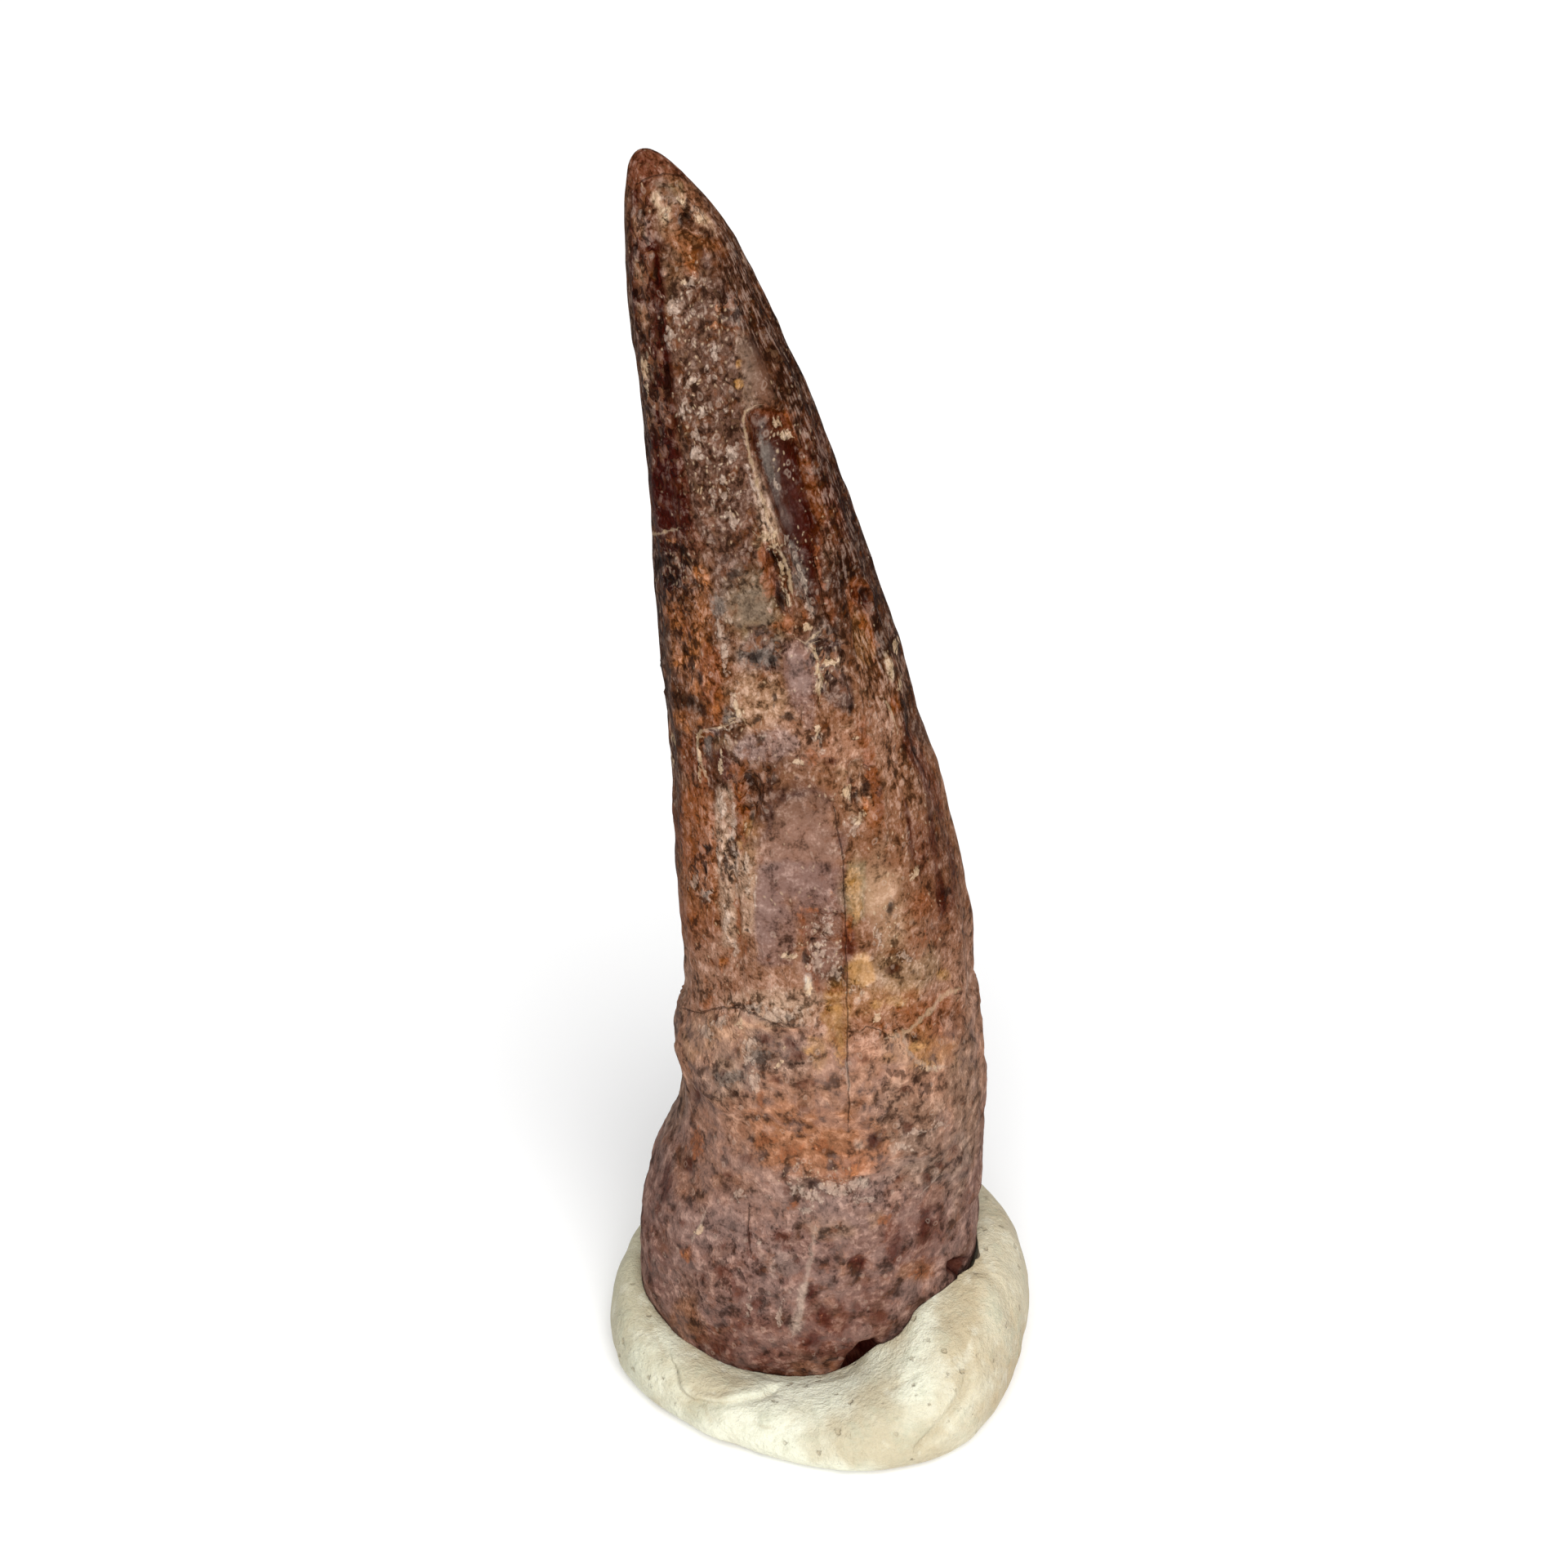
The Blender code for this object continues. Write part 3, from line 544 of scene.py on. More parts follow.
    (-0.04, "plum", 0.6, [(944, 1505), (958, 1501), (971, 1508), (967, 1519), (950, 1519)]),
    (-0.04, "plum", 0.6, [(955, 1524), (966, 1522), (970, 1531), (958, 1534)]),
    (-0.04, "plum", 0.55, [(878, 1550), (896, 1554), (912, 1574), (908, 1590), (892, 1580),
        (880, 1564)]),
    (-0.04, "plum", 0.55, [(918, 1586), (932, 1588), (934, 1602), (920, 1604)]),
    (-0.05, "wine", 0.65, [(1084, 1506), (1098, 1504), (1101, 1540), (1092, 1550), (1083, 1534)]),
    (-0.1, "wine", 0.7, [(1038, 1540), (1050, 1532), (1062, 1540), (1060, 1554), (1046, 1560),
        (1038, 1552)]),
    (-0.04, "wine", 0.6, [(994, 1606), (1012, 1604), (1020, 1622), (1004, 1648), (986, 1650),
        (984, 1630)]),
    (0.0, "slate", 0.35, [(926, 1536), (972, 1532), (980, 1558), (944, 1570)]),
    (0.0, "hazel", 0.45, [(826, 1590), (850, 1586), (866, 1620), (868, 1648), (846, 1640),
        (830, 1616)]),
    (0.0, "hazel", 0.55, [(966, 1668), (1024, 1660), (1030, 1684), (972, 1692)]),
]

# Sharp-edged marks: x, y, half width, half height, and a tilt where it has one
marks = {
    "cream": [
        # the first cream mark here, at 989, 1208, paints a glint of light on the crown
        (989, 1208, 5, 10), (958, 520, 8, 4, 50), (968, 536, 7, 4, 55), (950, 742, 4, 5),
        (803, 246, 3, 8), (814, 262, 6, 8), (836, 248, 4, 5, -20), (860, 270, 7, 5, 20),
        (829, 275, 3, 3), (837, 344, 4, 3), (790, 447, 6, 18), (792, 477, 4, 8), (953, 521, 3, 9, -40),
        (965, 539, 3, 9, -45), (935, 655, 12, 8, 10), (956, 666, 12, 5, 10), (947, 672, 8, 4),
        (958, 700, 3, 14, -16), (965, 730, 3, 14, -16), (990, 768, 9, 4, 20), (998, 781, 9, 3, -35),
        (1000, 800, 3, 14, -25), (1002, 834, 5, 16), (1016, 811, 10, 4), (896, 880, 12, 4, -20),
        (905, 862, 4, 14, -12), (884, 930, 3, 20), (856, 925, 3, 26, -4), (1038, 972, 8, 8),
        (1052, 1003, 11, 6), (1048, 935, 4, 5), (1045, 903, 4, 4), (1088, 818, 4, 13, -10),
        (1102, 836, 5, 9), (1096, 790, 3, 10), (914, 1013, 3, 9), (975, 935, 10, 3, 10),
        (1000, 897, 5, 9), (893, 884, 4, 8, 30), (1118, 1070, 3, 12, 40), (968, 1170, 12, 5),
        (909, 1250, 6, 6), (905, 1262, 4, 4), (959, 1280, 4, 4), (955, 1300, 4, 3), (1139, 1306, 12, 4),
        (1071, 1248, 6, 4, -30), (860, 1500, 4, 10, 20),
    ],
    "chalk": [
        (955, 1240, 30, 9), (930, 1228, 12, 6), (1000, 1180, 10, 18), (1022, 1196, 8, 12),
        (1012, 1140, 10, 12), (1040, 1450, 12, 8), (1012, 1450, 14, 8), (862, 506, 8, 9),
        (889, 502, 6, 6), (855, 533, 11, 6), (853, 555, 9, 9), (893, 556, 9, 9), (885, 585, 5, 7),
        (888, 602, 9, 6), (902, 543, 3, 3), (897, 636, 6, 12, -20), (844, 470, 9, 6), (865, 455, 8, 6),
        (838, 500, 5, 8), (824, 375, 6, 16), (822, 412, 6, 14), (845, 350, 8, 8), (872, 430, 6, 7),
        (950, 590, 3, 20, -14), (966, 664, 7, 8), (984, 712, 4, 22, -15), (992, 742, 6, 12),
        (928, 606, 4, 26, -14), (940, 640, 5, 20, -14), (882, 770, 4, 14), (890, 800, 4, 14),
        (891, 822, 4, 8), (902, 855, 4, 12, -10), (907, 876, 4, 10, -14), (897, 890, 10, 3, -20),
        (872, 893, 14, 3, -10), (935, 900, 10, 6), (1000, 905, 12, 6), (1005, 918, 6, 5),
        (884, 985, 5, 24), (899, 1005, 3, 30), (882, 1052, 4, 20), (906, 1064, 3, 36),
        (919, 1060, 3, 30), (927, 1090, 2, 24), (890, 1126, 4, 20), (900, 1160, 3, 16),
        (1045, 1010, 8, 14), (1075, 1150, 5, 18), (1110, 1170, 10, 6, 20), (848, 1080, 11, 8),
        (865, 1095, 8, 6), (922, 1282, 7, 16), (925, 1320, 6, 14), (885, 1250, 10, 8),
        (870, 1262, 10, 8), (973, 1456, 9, 6), (997, 1463, 11, 6), (1053, 1444, 11, 6),
        (1060, 1466, 10, 5), (1030, 1456, 10, 4), (940, 1465, 10, 6), (985, 1478, 14, 4),
        (1105, 1400, 10, 6), (1120, 1382, 8, 5), (1150, 1372, 10, 8), (905, 1465, 8, 8),
        (976, 1623, 4, 5), (930, 1520, 5, 5), (918, 1600, 4, 12), (955, 1610, 4, 16),
    ],
    "black": [
        (778, 300, 3, 8), (780, 358, 4, 8), (785, 412, 4, 10), (789, 484, 4, 9), (795, 545, 4, 10),
        (787, 262, 3, 6), (919, 1004, 4, 7), (1062, 972, 6, 8), (843, 269, 6, 7), (804, 335, 3, 14),
        (810, 400, 3, 26, -4), (818, 470, 4, 40, -5), (805, 688, 12, 12), (834, 673, 6, 8, -20),
        (818, 712, 12, 8), (836, 795, 4, 9), (859, 829, 4, 10), (841, 859, 9, 7), (925, 806, 9, 8),
        (945, 808, 6, 6), (905, 766, 8, 3, 15), (948, 859, 3, 10, 8), (964, 880, 9, 7),
        (926, 882, 7, 5), (898, 700, 8, 8), (952, 686, 5, 13, -14), (957, 736, 6, 17, -14),
        (1039, 864, 3, 9), (1004, 845, 4, 7), (1065, 968, 5, 7), (1050, 978, 5, 4),
        (1003, 905, 3, 12, -14), (1111, 887, 4, 18, -14), (1121, 922, 4, 14, -14),
        (1062, 728, 4, 10, -14), (870, 1038, 6, 7), (864, 1066, 3, 4), (846, 1125, 3, 4),
        (918, 1137, 4, 3), (995, 1152, 5, 4), (988, 1175, 4, 12, -10), (1032, 1192, 3, 5),
        (1159, 1092, 5, 7), (1090, 1113, 5, 8), (882, 1247, 4, 5), (858, 1338, 6, 8), (890, 1311, 6, 6),
        (970, 1276, 12, 8), (978, 1290, 8, 6), (940, 1268, 8, 6), (986, 1324, 14, 5, -12),
        (950, 1320, 8, 5), (900, 1290, 5, 4), (986, 1355, 9, 4, 10), (1055, 1295, 8, 5, -30),
        (1105, 1332, 10, 6), (1110, 1378, 8, 7), (918, 1415, 9, 7), (894, 1437, 7, 5),
        (962, 1457, 6, 6), (988, 1503, 4, 6), (956, 1512, 9, 7), (963, 1527, 8, 5), (918, 1510, 3, 14),
        (917, 1530, 3, 9), (887, 1524, 4, 7), (886, 1556, 12, 7, 20), (906, 1582, 9, 8),
        (927, 1597, 6, 7), (909, 1620, 4, 12), (859, 1562, 7, 7), (974, 1547, 5, 4),
        (1130, 1440, 12, 6, 30), (1150, 1425, 8, 6), (880, 1650, 9, 7), (842, 1495, 6, 6),
        (812, 1478, 4, 10), (860, 1640, 6, 6), (1165, 1405, 7, 8), (1100, 1445, 7, 4),
        (1078, 1610, 8, 6), (1050, 1600, 7, 5),
    ],
    "rust": [
        (900, 975, 4, 30), (908, 1026, 6, 12), (1074, 960, 5, 34, -8), (940, 712, 4, 24, -12),
        (966, 507, 8, 4, 20), (981, 1140, 3, 22, -6), (990, 1180, 3, 22, -8), (846, 330, 8, 10),
        (936, 700, 5, 34, -10), (944, 720, 5, 12, -10), (955, 765, 12, 7), (985, 752, 8, 6),
        (825, 750, 12, 8), (838, 770, 8, 12), (868, 800, 7, 20), (880, 850, 7, 24),
        (862, 900, 8, 14, 10), (879, 868, 8, 12), (905, 940, 14, 6), (905, 990, 4, 26),
        (914, 1010, 4, 20), (996, 928, 13, 8), (1060, 905, 4, 34, -8), (1068, 955, 5, 36, -10),
        (1075, 985, 5, 20, -10), (1066, 992, 8, 10), (1050, 715, 12, 5), (1046, 745, 5, 16, -14),
        (1066, 770, 6, 26, -14), (1095, 864, 5, 10), (1003, 690, 3, 30, -6), (860, 960, 6, 30),
        (845, 985, 14, 30), (850, 1040, 14, 26), (840, 1120, 12, 14), (904, 1130, 3, 34),
        (913, 1160, 4, 16), (1126, 1100, 8, 12), (1130, 1150, 8, 10), (992, 1116, 12, 4),
        (982, 1135, 3, 16), (1040, 1130, 3, 20), (884, 1180, 8, 8), (868, 1225, 6, 10),
        (1080, 1254, 14, 6, 10), (1108, 1238, 12, 6), (938, 1395, 12, 8), (970, 1410, 14, 8),
        (1010, 1400, 10, 12), (1044, 1427, 12, 7), (973, 1474, 9, 5), (855, 1400, 8, 16),
        (932, 1345, 6, 12), (843, 1535, 6, 7), (1020, 1440, 8, 5), (1085, 1490, 10, 5, -30),
        (1128, 1560, 14, 6),
    ],
    "orange": [
        (828, 765, 5, 9), (835, 782, 4, 6), (866, 815, 4, 12), (850, 800, 5, 5), (826, 812, 6, 4),
        (870, 835, 4, 8), (830, 880, 6, 8), (842, 894, 5, 5), (862, 709, 7, 9), (856, 697, 6, 5),
        (824, 662, 6, 4), (852, 838, 7, 8), (880, 866, 4, 7), (862, 884, 5, 6), (850, 322, 4, 8),
        (882, 382, 4, 6), (873, 398, 4, 4), (884, 1180, 5, 6), (1062, 986, 4, 8), (843, 1534, 4, 5),
        (1044, 1428, 7, 4), (1016, 1090, 3, 3), (860, 1000, 4, 10), (940, 690, 2, 14, -8),
    ],
    "ochre": [
        (904, 447, 4, 5), (905, 469, 5, 6), (1052, 1189, 13, 14), (1024, 1240, 12, 22),
        (1028, 1278, 7, 22, -6), (1071, 1229, 9, 6), (1100, 1227, 11, 7), (1045, 1080, 10, 20),
        (1048, 1110, 8, 14), (1120, 1280, 12, 6), (1130, 1298, 12, 4), (992, 1285, 8, 6),
        (1156, 1195, 8, 8), (908, 1030, 4, 6),
    ],
    "slate": [
        # The first two slate marks, in the big chip and below it, are partly a blue-grey colour and
        # partly a painted sheen.
        (942, 570, 8, 34, -14), (979, 705, 10, 34, -15), (867, 912, 6, 14), (932, 804, 20, 12),
        (880, 740, 10, 14), (930, 1290, 12, 10), (895, 1316, 18, 10),
    ],
    "maroon": [
        (785, 198, 3, 8), (820, 450, 6, 90, -5), (806, 330, 4, 40, -2), (800, 570, 12, 60, -4),
        (822, 600, 12, 40, -10), (812, 640, 14, 26), (986, 640, 14, 64, -11), (972, 575, 9, 26, -14),
        (1000, 690, 7, 24, -6), (1067, 1392, 8, 9), (1048, 1544, 10, 10), (884, 925, 8, 20),
        (945, 680, 5, 10), (953, 722, 4, 14, -10), (1132, 1500, 8, 26, 10), (1095, 1524, 7, 16),
        (991, 1582, 4, 16, 8), (994, 1638, 11, 9), (1010, 1610, 8, 14), (824, 1448, 6, 13),
        (846, 1424, 5, 13), (1040, 1160, 7, 14), (1056, 1660, 24, 15, -14), (1094, 1187, 9, 7),
        (1140, 1010, 5, 50, -10), (1150, 1090, 5, 40, -6), (1115, 1020, 4, 40, -8), (1006, 840, 4, 12),
        (1020, 932, 12, 4), (1000, 700, 4, 40, -8), (820, 1440, 5, 30), (1165, 1050, 4, 30, -8),
    ],
}

# Where pale grains, dark flecks, gloss and lengthwise streaks are strong
textures = {
    "sugar": [
        (860, 400, 44, 60, -10), (862, 500, 40, 70, -8), (880, 590, 34, 60, -10), (1010, 828, 16, 30),
        (1008, 1160, 30, 44), (1050, 1215, 20, 14), (1085, 1140, 20, 40), (985, 690, 16, 50, -12),
        (960, 560, 14, 60, -14), (895, 900, 26, 20), (830, 700, 30, 24), (995, 1440, 60, 26),
    ],
    "flecks": [
        (788, 330, 14, 110), (800, 500, 20, 100, -5), (830, 720, 34, 60, -4), (1012, 800, 30, 50),
        (920, 960, 36, 40), (838, 800, 22, 60, -4), (862, 1060, 24, 60), (895, 1040, 20, 60),
        (950, 1285, 60, 50), (880, 1320, 50, 40), (905, 1240, 40, 20), (1110, 1350, 60, 60),
        (910, 1560, 60, 70), (960, 1520, 60, 40), (860, 1600, 40, 50), (1080, 1450, 70, 40),
        (935, 800, 34, 30), (838, 262, 34, 34, -10), (895, 375, 20, 30, -14), (1060, 970, 26, 34),
        (1100, 1280, 50, 30),
    ],
    "gloss": [
        (958, 610, 26, 90, -12), (982, 1040, 50, 92), (925, 450, 18, 50, -14), (1000, 1190, 30, 30),
        (1056, 1190, 16, 16), (978, 822, 22, 32), (1025, 1250, 14, 28), (1075, 1090, 26, 60, -6),
        (940, 1110, 18, 60), (922, 748, 22, 30),
    ],
    "streaks": [
        (920, 370, 26, 120, -19), (980, 500, 26, 110, -16), (1030, 640, 26, 110, -14),
        (1090, 820, 34, 110, -14), (1130, 1000, 40, 120, -10), (960, 1060, 50, 90),
        (900, 1080, 30, 110), (850, 1010, 30, 110), (950, 640, 30, 100, -12),
    ],
}

# Outlines of the places where the surface is broken away: depth, then x, y round the edge
chips = {
    "bigChip": (0.42, [(912, 506), (925, 501), (943, 499), (961, 503), (971, 527), (981, 549),
        (992, 569), (999, 592), (1005, 612), (1010, 632), (1009, 652), (1006, 680), (1004, 715),
        (1003, 752), (990, 748), (978, 714), (969, 689), (959, 658), (948, 628), (940, 600), (930, 571),
        (920, 552), (915, 525)]),
    "slot": (0.5, [(934, 668), (946, 668), (953, 686), (961, 712), (969, 737), (970, 755), (960, 754),
        (948, 730), (940, 706), (935, 688)]),
    "leftPit": (0.35, [(904, 942), (924, 938), (937, 958), (930, 990), (924, 1022), (912, 1034),
        (905, 1000)]),
    "rightPit": (0.34, [(1036, 936), (1056, 925), (1075, 950), (1084, 992), (1068, 1012), (1050, 1000),
        (1040, 970)]),
    "upperPit": (0.3, [(1040, 716), (1052, 706), (1066, 722), (1071, 750), (1060, 748), (1047, 737)]),
    "window": (0.24, [(979, 1117), (1034, 1116), (1036, 1160), (1037, 1214), (1001, 1214), (991, 1180),
        (984, 1146)]),
    "wedge": (0.22, [(1009, 1236), (1036, 1220), (1037, 1262), (1036, 1302), (1028, 1292),
        (1019, 1266)]),
    "tipPatch": (0.22, [(798, 226), (822, 219), (844, 224), (858, 246), (872, 270), (880, 298),
        (866, 302), (846, 286), (824, 290), (806, 284), (800, 256)]),
    "sideNotch": (1.6, [(1156, 1544), (1168, 1538), (1186, 1535), (1200, 1538), (1200, 1562),
        (1178, 1568), (1158, 1562)]),
    "notch": (2.3, [(1026, 1682), (1034, 1660), (1048, 1643), (1070, 1636), (1084, 1646), (1076, 1672),
        (1050, 1694)]),
}

# Fine lines: half width in millimetres, then x, y along the line
cracks = [
    (0.04, [(784, 223), (796, 217), (812, 212), (832, 216), (850, 223)]),
    (0.036, [(1020, 984), (1025, 1020), (1030, 1040), (1034, 1102), (1035, 1160), (1037, 1230),
        (1038, 1256), (1037, 1300)]),
    (0.07, [(838, 1235), (858, 1240), (871, 1237), (886, 1233), (902, 1233), (917, 1236), (935, 1243),
        (956, 1254)]),
    (0.035, [(1039, 1264), (1052, 1262), (1060, 1254), (1075, 1261), (1088, 1268)]),
    (0.06, [(998, 680), (1003, 714), (1010, 749), (1022, 776), (1031, 818), (1039, 850)]),
    (0.036, [(1037, 1300), (1039, 1344), (1038, 1372)]),
    (0.06, [(918, 1480), (916, 1505), (919, 1535)]),
]
veins = [
    (0.075, [(922, 500), (912, 504), (909, 514), (912, 532), (915, 550), (920, 564), (925, 580)]),
    (0.085, [(925, 580), (930, 600), (936, 620), (942, 640), (947, 654)]),
    (0.08, [(952, 672), (960, 684), (967, 706), (971, 728)]),
    (0.19, [(1166, 1212), (1152, 1225), (1136, 1240), (1121, 1255), (1104, 1265), (1092, 1270)]),
    (0.13, [(1104, 1265), (1108, 1283), (1119, 1296), (1139, 1306), (1152, 1304)]),
    (0.1, [(798, 654), (812, 652), (827, 648)]),
    (0.15, [(998, 1500), (996, 1520), (992, 1545), (985, 1580), (979, 1610), (971, 1632)]),
    (0.08, [(903, 860), (907, 870), (911, 880)]),
    (0.08, [(1085, 858), (1092, 874), (1097, 888), (1100, 900)]),
    (0.1, [(866, 1482), (860, 1497), (853, 1513)]),
    (0.08, [(1122, 1462), (1134, 1452), (1146, 1442)]),
    (0.07, [(856, 901), (860, 893), (882, 888), (902, 882)]),
    (0.07, [(856, 901), (855, 915), (859, 934), (866, 952)]),
    (0.1, [(1037, 1300), (1036, 1316), (1039, 1330)]),
    (0.06, [(976, 781), (988, 789), (998, 801), (1002, 808)]),
    (0.06, [(988, 787), (996, 779), (1004, 774)]),
    (0.12, [(1002, 818), (1005, 834), (1003, 850)]),
]

# Edges where one plate of enamel stands above the next: height, then x, y along the edge
plateEdges = [
    (0.2, [(884, 1165), (879, 1119), (877, 1050), (877, 990), (868, 960), (858, 930), (860, 896),
        (884, 884), (904, 880)]),
    (-0.16, [(909, 1175), (907, 1120), (905, 1040), (903, 975), (905, 940)]),
    (0.07, [(1037, 1302), (1037, 1230), (1034, 1102), (1030, 1040), (1022, 951), (1016, 905)]),
    (0.16, [(1088, 1005), (1086, 950), (1070, 905), (1056, 868), (1046, 800), (1040, 745)]),
    (-0.14, [(1030, 868), (1025, 802), (1010, 749), (1003, 714)]),
    (0.15, [(862, 680), (845, 600), (824, 516), (813, 429), (803, 336), (800, 270)]),
    (0.18, [(836, 1236), (871, 1237), (917, 1236), (963, 1256), (1039, 1265)]),
    (-0.14, [(1040, 1265), (1060, 1252), (1088, 1268), (1121, 1255), (1152, 1225), (1170, 1208)]),
    (0.16, [(830, 1420), (880, 1452), (960, 1440), (1050, 1436), (1120, 1420), (1180, 1390)]),
]

# How each broken place looks: how dark it is inside, and how rusty its rim
chipLooks = {
    "bigChip": (0.34, 0.50), "slot": (0.20, 0.8), "leftPit": (0.08, 0.6), "rightPit": (0.15, 0.8),
    "upperPit": (0.55, 0.9), "window": (0.08, 0.9), "wedge": (0.0, 0.6), "tipPatch": (0.0, 0.2),
    # the notch and the side notch are wholly dark inside: partly their own dark broken interior and
    # partly painted shade in these hollows
    "notch": (1.0, 0.4), "sideNotch": (1.0, 0.0),
}
frontOnly = ("tipPatch", "notch", "sideNotch")  # broken places with no twin on the back

# Soft dents: turn, height, half width, half length, depth, slant
dents = [
    (299, 76.0, 2.4, 7.2, 0.30, 0.14), (281, 70.8, 1.0, 2.6, 0.20, 0.05),
    (247, 54.4, 0.9, 2.2, 0.20, 0.0), (305, 56.0, 1.3, 4.0, 0.22, 0.08),
    (329, 66.8, 1.1, 3.6, 0.20, 0.05), (296, 95.0, 0.8, 1.3, 0.20, 0.0),
    (269, 41.3, 1.4, 2.0, 0.15, 0.0), (75, 72.0, 1.9, 5.0, 0.45, -0.10),
    (108, 52.0, 1.3, 3.4, 0.40, 0.06), (40, 46.5, 1.1, 3.0, 0.35, 0.0),
    (165, 60.0, 1.0, 3.8, 0.35, 0.04),
]

relief = {
    "crownLumps": 0.14, "rootLumps": 0.36, "crownPebbles": 0.20, "rootPebbles": 0.26, "stretch": 0.45,
    "crownGrit": 0.085, "rootGrit": 0.090, "ledgeGrit": 0.14, "crownSand": 0.030, "rootSand": 0.055,
    "creamRise": 0.07, "chalkRise": 0.05, "rustRise": 0.03, "blackSink": 0.13, "lipRise": 0.05,
    "crackSink": 0.07, "veinRise": 0.05, "polish": 0.6, "grainFade": (-0.25, 0.6), "grainWarp": 0.3,
    "dentFade": (0.5, 1.4), "crustFade": (0.0, 0.6), "blackFade": (0.0, 0.8), "lipFrom": -0.1,
    "crackFade": (0.5, 3.0), "veinFade": (0.5, 2.0),
}

# How soft the edges are, in millimetres unless said
edges = {
    "markReach": 2.2,  # in a mark's own sizes
    "tintFade": (0.55, 1.25),  # in a tint's own sizes
    "patch": 0.16, "patchMargin": 1.0, "patchWobble": 1.4,
    "step": 0.18, "stepFade": (0.6, 2.6), "stepMargin": 3.0,
    "chipWall": -0.30, "chipWallByDepth": 0.4, "chipTop": 0.06, "chipInside": (-0.28, -0.05),
    "rim": (0.06, 0.26), "rimInset": 0.08, "chipMargin": 2.0, "chipWobble": 0.7,
    "line": (0.35, 0.8), "lineMargin": 1.2, "lineWidths": 8.0, "lineWarp": 0.35,
}


def toothGrid():
    # turns and heights of every vertex, closer together on the broad front face
    steps = np.arange(tooth["columns"]) * 360.0 / tooth["columns"]
    turns = steps - tooth["crowding"] * np.sin(np.radians(steps - tooth["crowdedTurn"]))
    heights = np.linspace(tooth["bottom"], tooth["domeStart"], tooth["rows"])
    return turns % 360.0, heights


def ledgeHeights(turns):
    return curveThrough(tooth["ledge"], np.where(turns > tooth["ledgeSeam"], turns - 360.0, turns))


def windowOf(spot, reachPixels, turns, heights, radii):
    # the few vertices near a spot, to save time
    turn, height = spot[:2]
    around = np.radians(np.abs(wrapTurn(turns - turn))) * radii
    return (around < reachPixels / edgeOn + 1.0) & (np.abs(heights - height) < reachPixels / upOn + 1.0)


def levelField(table, grid, shuffle):
    # 1 in the middle of any mark, 0 on its edge and below that outside
    turns, heights, radii = grid
    level = np.full(turns.shape, -1.0)
    for mark in table:
        for spot in withBackTwin(footprint(mark[0], mark[1]), shuffle):
            near = windowOf(spot, edges["markReach"] * max(mark[2], mark[3]), turns, heights, radii)
            reach = markReach(spot, mark, turns[near], heights[near], radii[near])
            level[near] = np.maximum(level[near], 1.0 - reach)
    return level


def groundColours(grid, warped, shuffle):
    turns, heights, radii = grid
    places = np.array([height for _, height in grounds])[::-1]
    colours = np.array([paint(name) for name, _ in grounds])[::-1]
    soft = heights + cloudOf("bands", warped["place"])
    ground = np.stack([np.interp(soft, places, colours[:, c]) for c in range(3)], axis=-1)
    for x, y, wide, high, name, weight, *tilt in tints:
        mark = (x, y, wide, high, *tilt)
        for spot in withBackTwin(footprint(x, y), shuffle):
            near = windowOf(spot, edges["markReach"] * max(wide, high), turns, heights, radii)
            reach = markReach(spot, mark, turns[near], heights[near], radii[near])
            share = weight * (1.0 - smoothStep(*edges["tintFade"], reach + warped["edge"][near]))
            ground[near] += (paint(name) - ground[near]) * share[:, None]
    return ground


def twinsOf(path):
    # a line of pixels laid flat, as millimetres round from a turn and height, and its back twin
    spots = np.array([spotSeenAt(x, y) for x, y in path])
    turn = spots[0, 0] + wrapTurn(spots[:, 0] - spots[0, 0]).mean()
    around = np.radians(wrapTurn(spots[:, 0] - turn)) * girthRadius(spots[:, 1])
    front = np.stack([around, spots[:, 1]], axis=-1)
    back = np.stack([around, slidDown(spots[:, 1])], axis=-1)
    return [(turn, front), ((turn + backShift["turn"]) % 360.0, back)]


def nearPath(grid, turn, flat, margin):
    # the vertices near a laid-flat path, and where they lie on the same flat
    turns, heights, radii = grid
    around = np.radians(wrapTurn(turns - turn)) * radii
    low, high = flat.min(axis=0) - margin, flat.max(axis=0) + margin
    near = (around > low[0]) & (around < high[0]) & (heights > low[1]) & (heights < high[1])
    return near, np.stack([around[near], heights[near]], axis=-1)


def pathDistance(spots, path, closed):
    # distance to a path, and on which side of it; a closed one is negative inside
    best = np.full(len(spots), 99.0)
    side = np.ones(len(spots))
    inside = np.zeros(len(spots), bool)
    ends = np.roll(path, -1, axis=0) if closed else path[1:]
    for start, end in zip(path if closed else path[:-1], ends):
        run = end - start
        offset = spots - start
        along = np.clip((offset @ run) / max(run @ run, 1e-9), 0.0, 1.0)
        away = np.hypot(*(offset - along[:, None] * run).T)
        nearer = away < best
        best = np.where(nearer, away, best)
        cross = run[0] * offset[:, 1] - run[1] * offset[:, 0]
        side = np.where(nearer, np.sign(cross), side)
        if closed and abs(run[1]) > 1e-9:
            spans = (start[1] > spots[:, 1]) != (end[1] > spots[:, 1])
            inside ^= spans & (offset[:, 0] < run[0] * offset[:, 1] / run[1])
    return best, np.where(inside, -1.0, 1.0) if closed else side


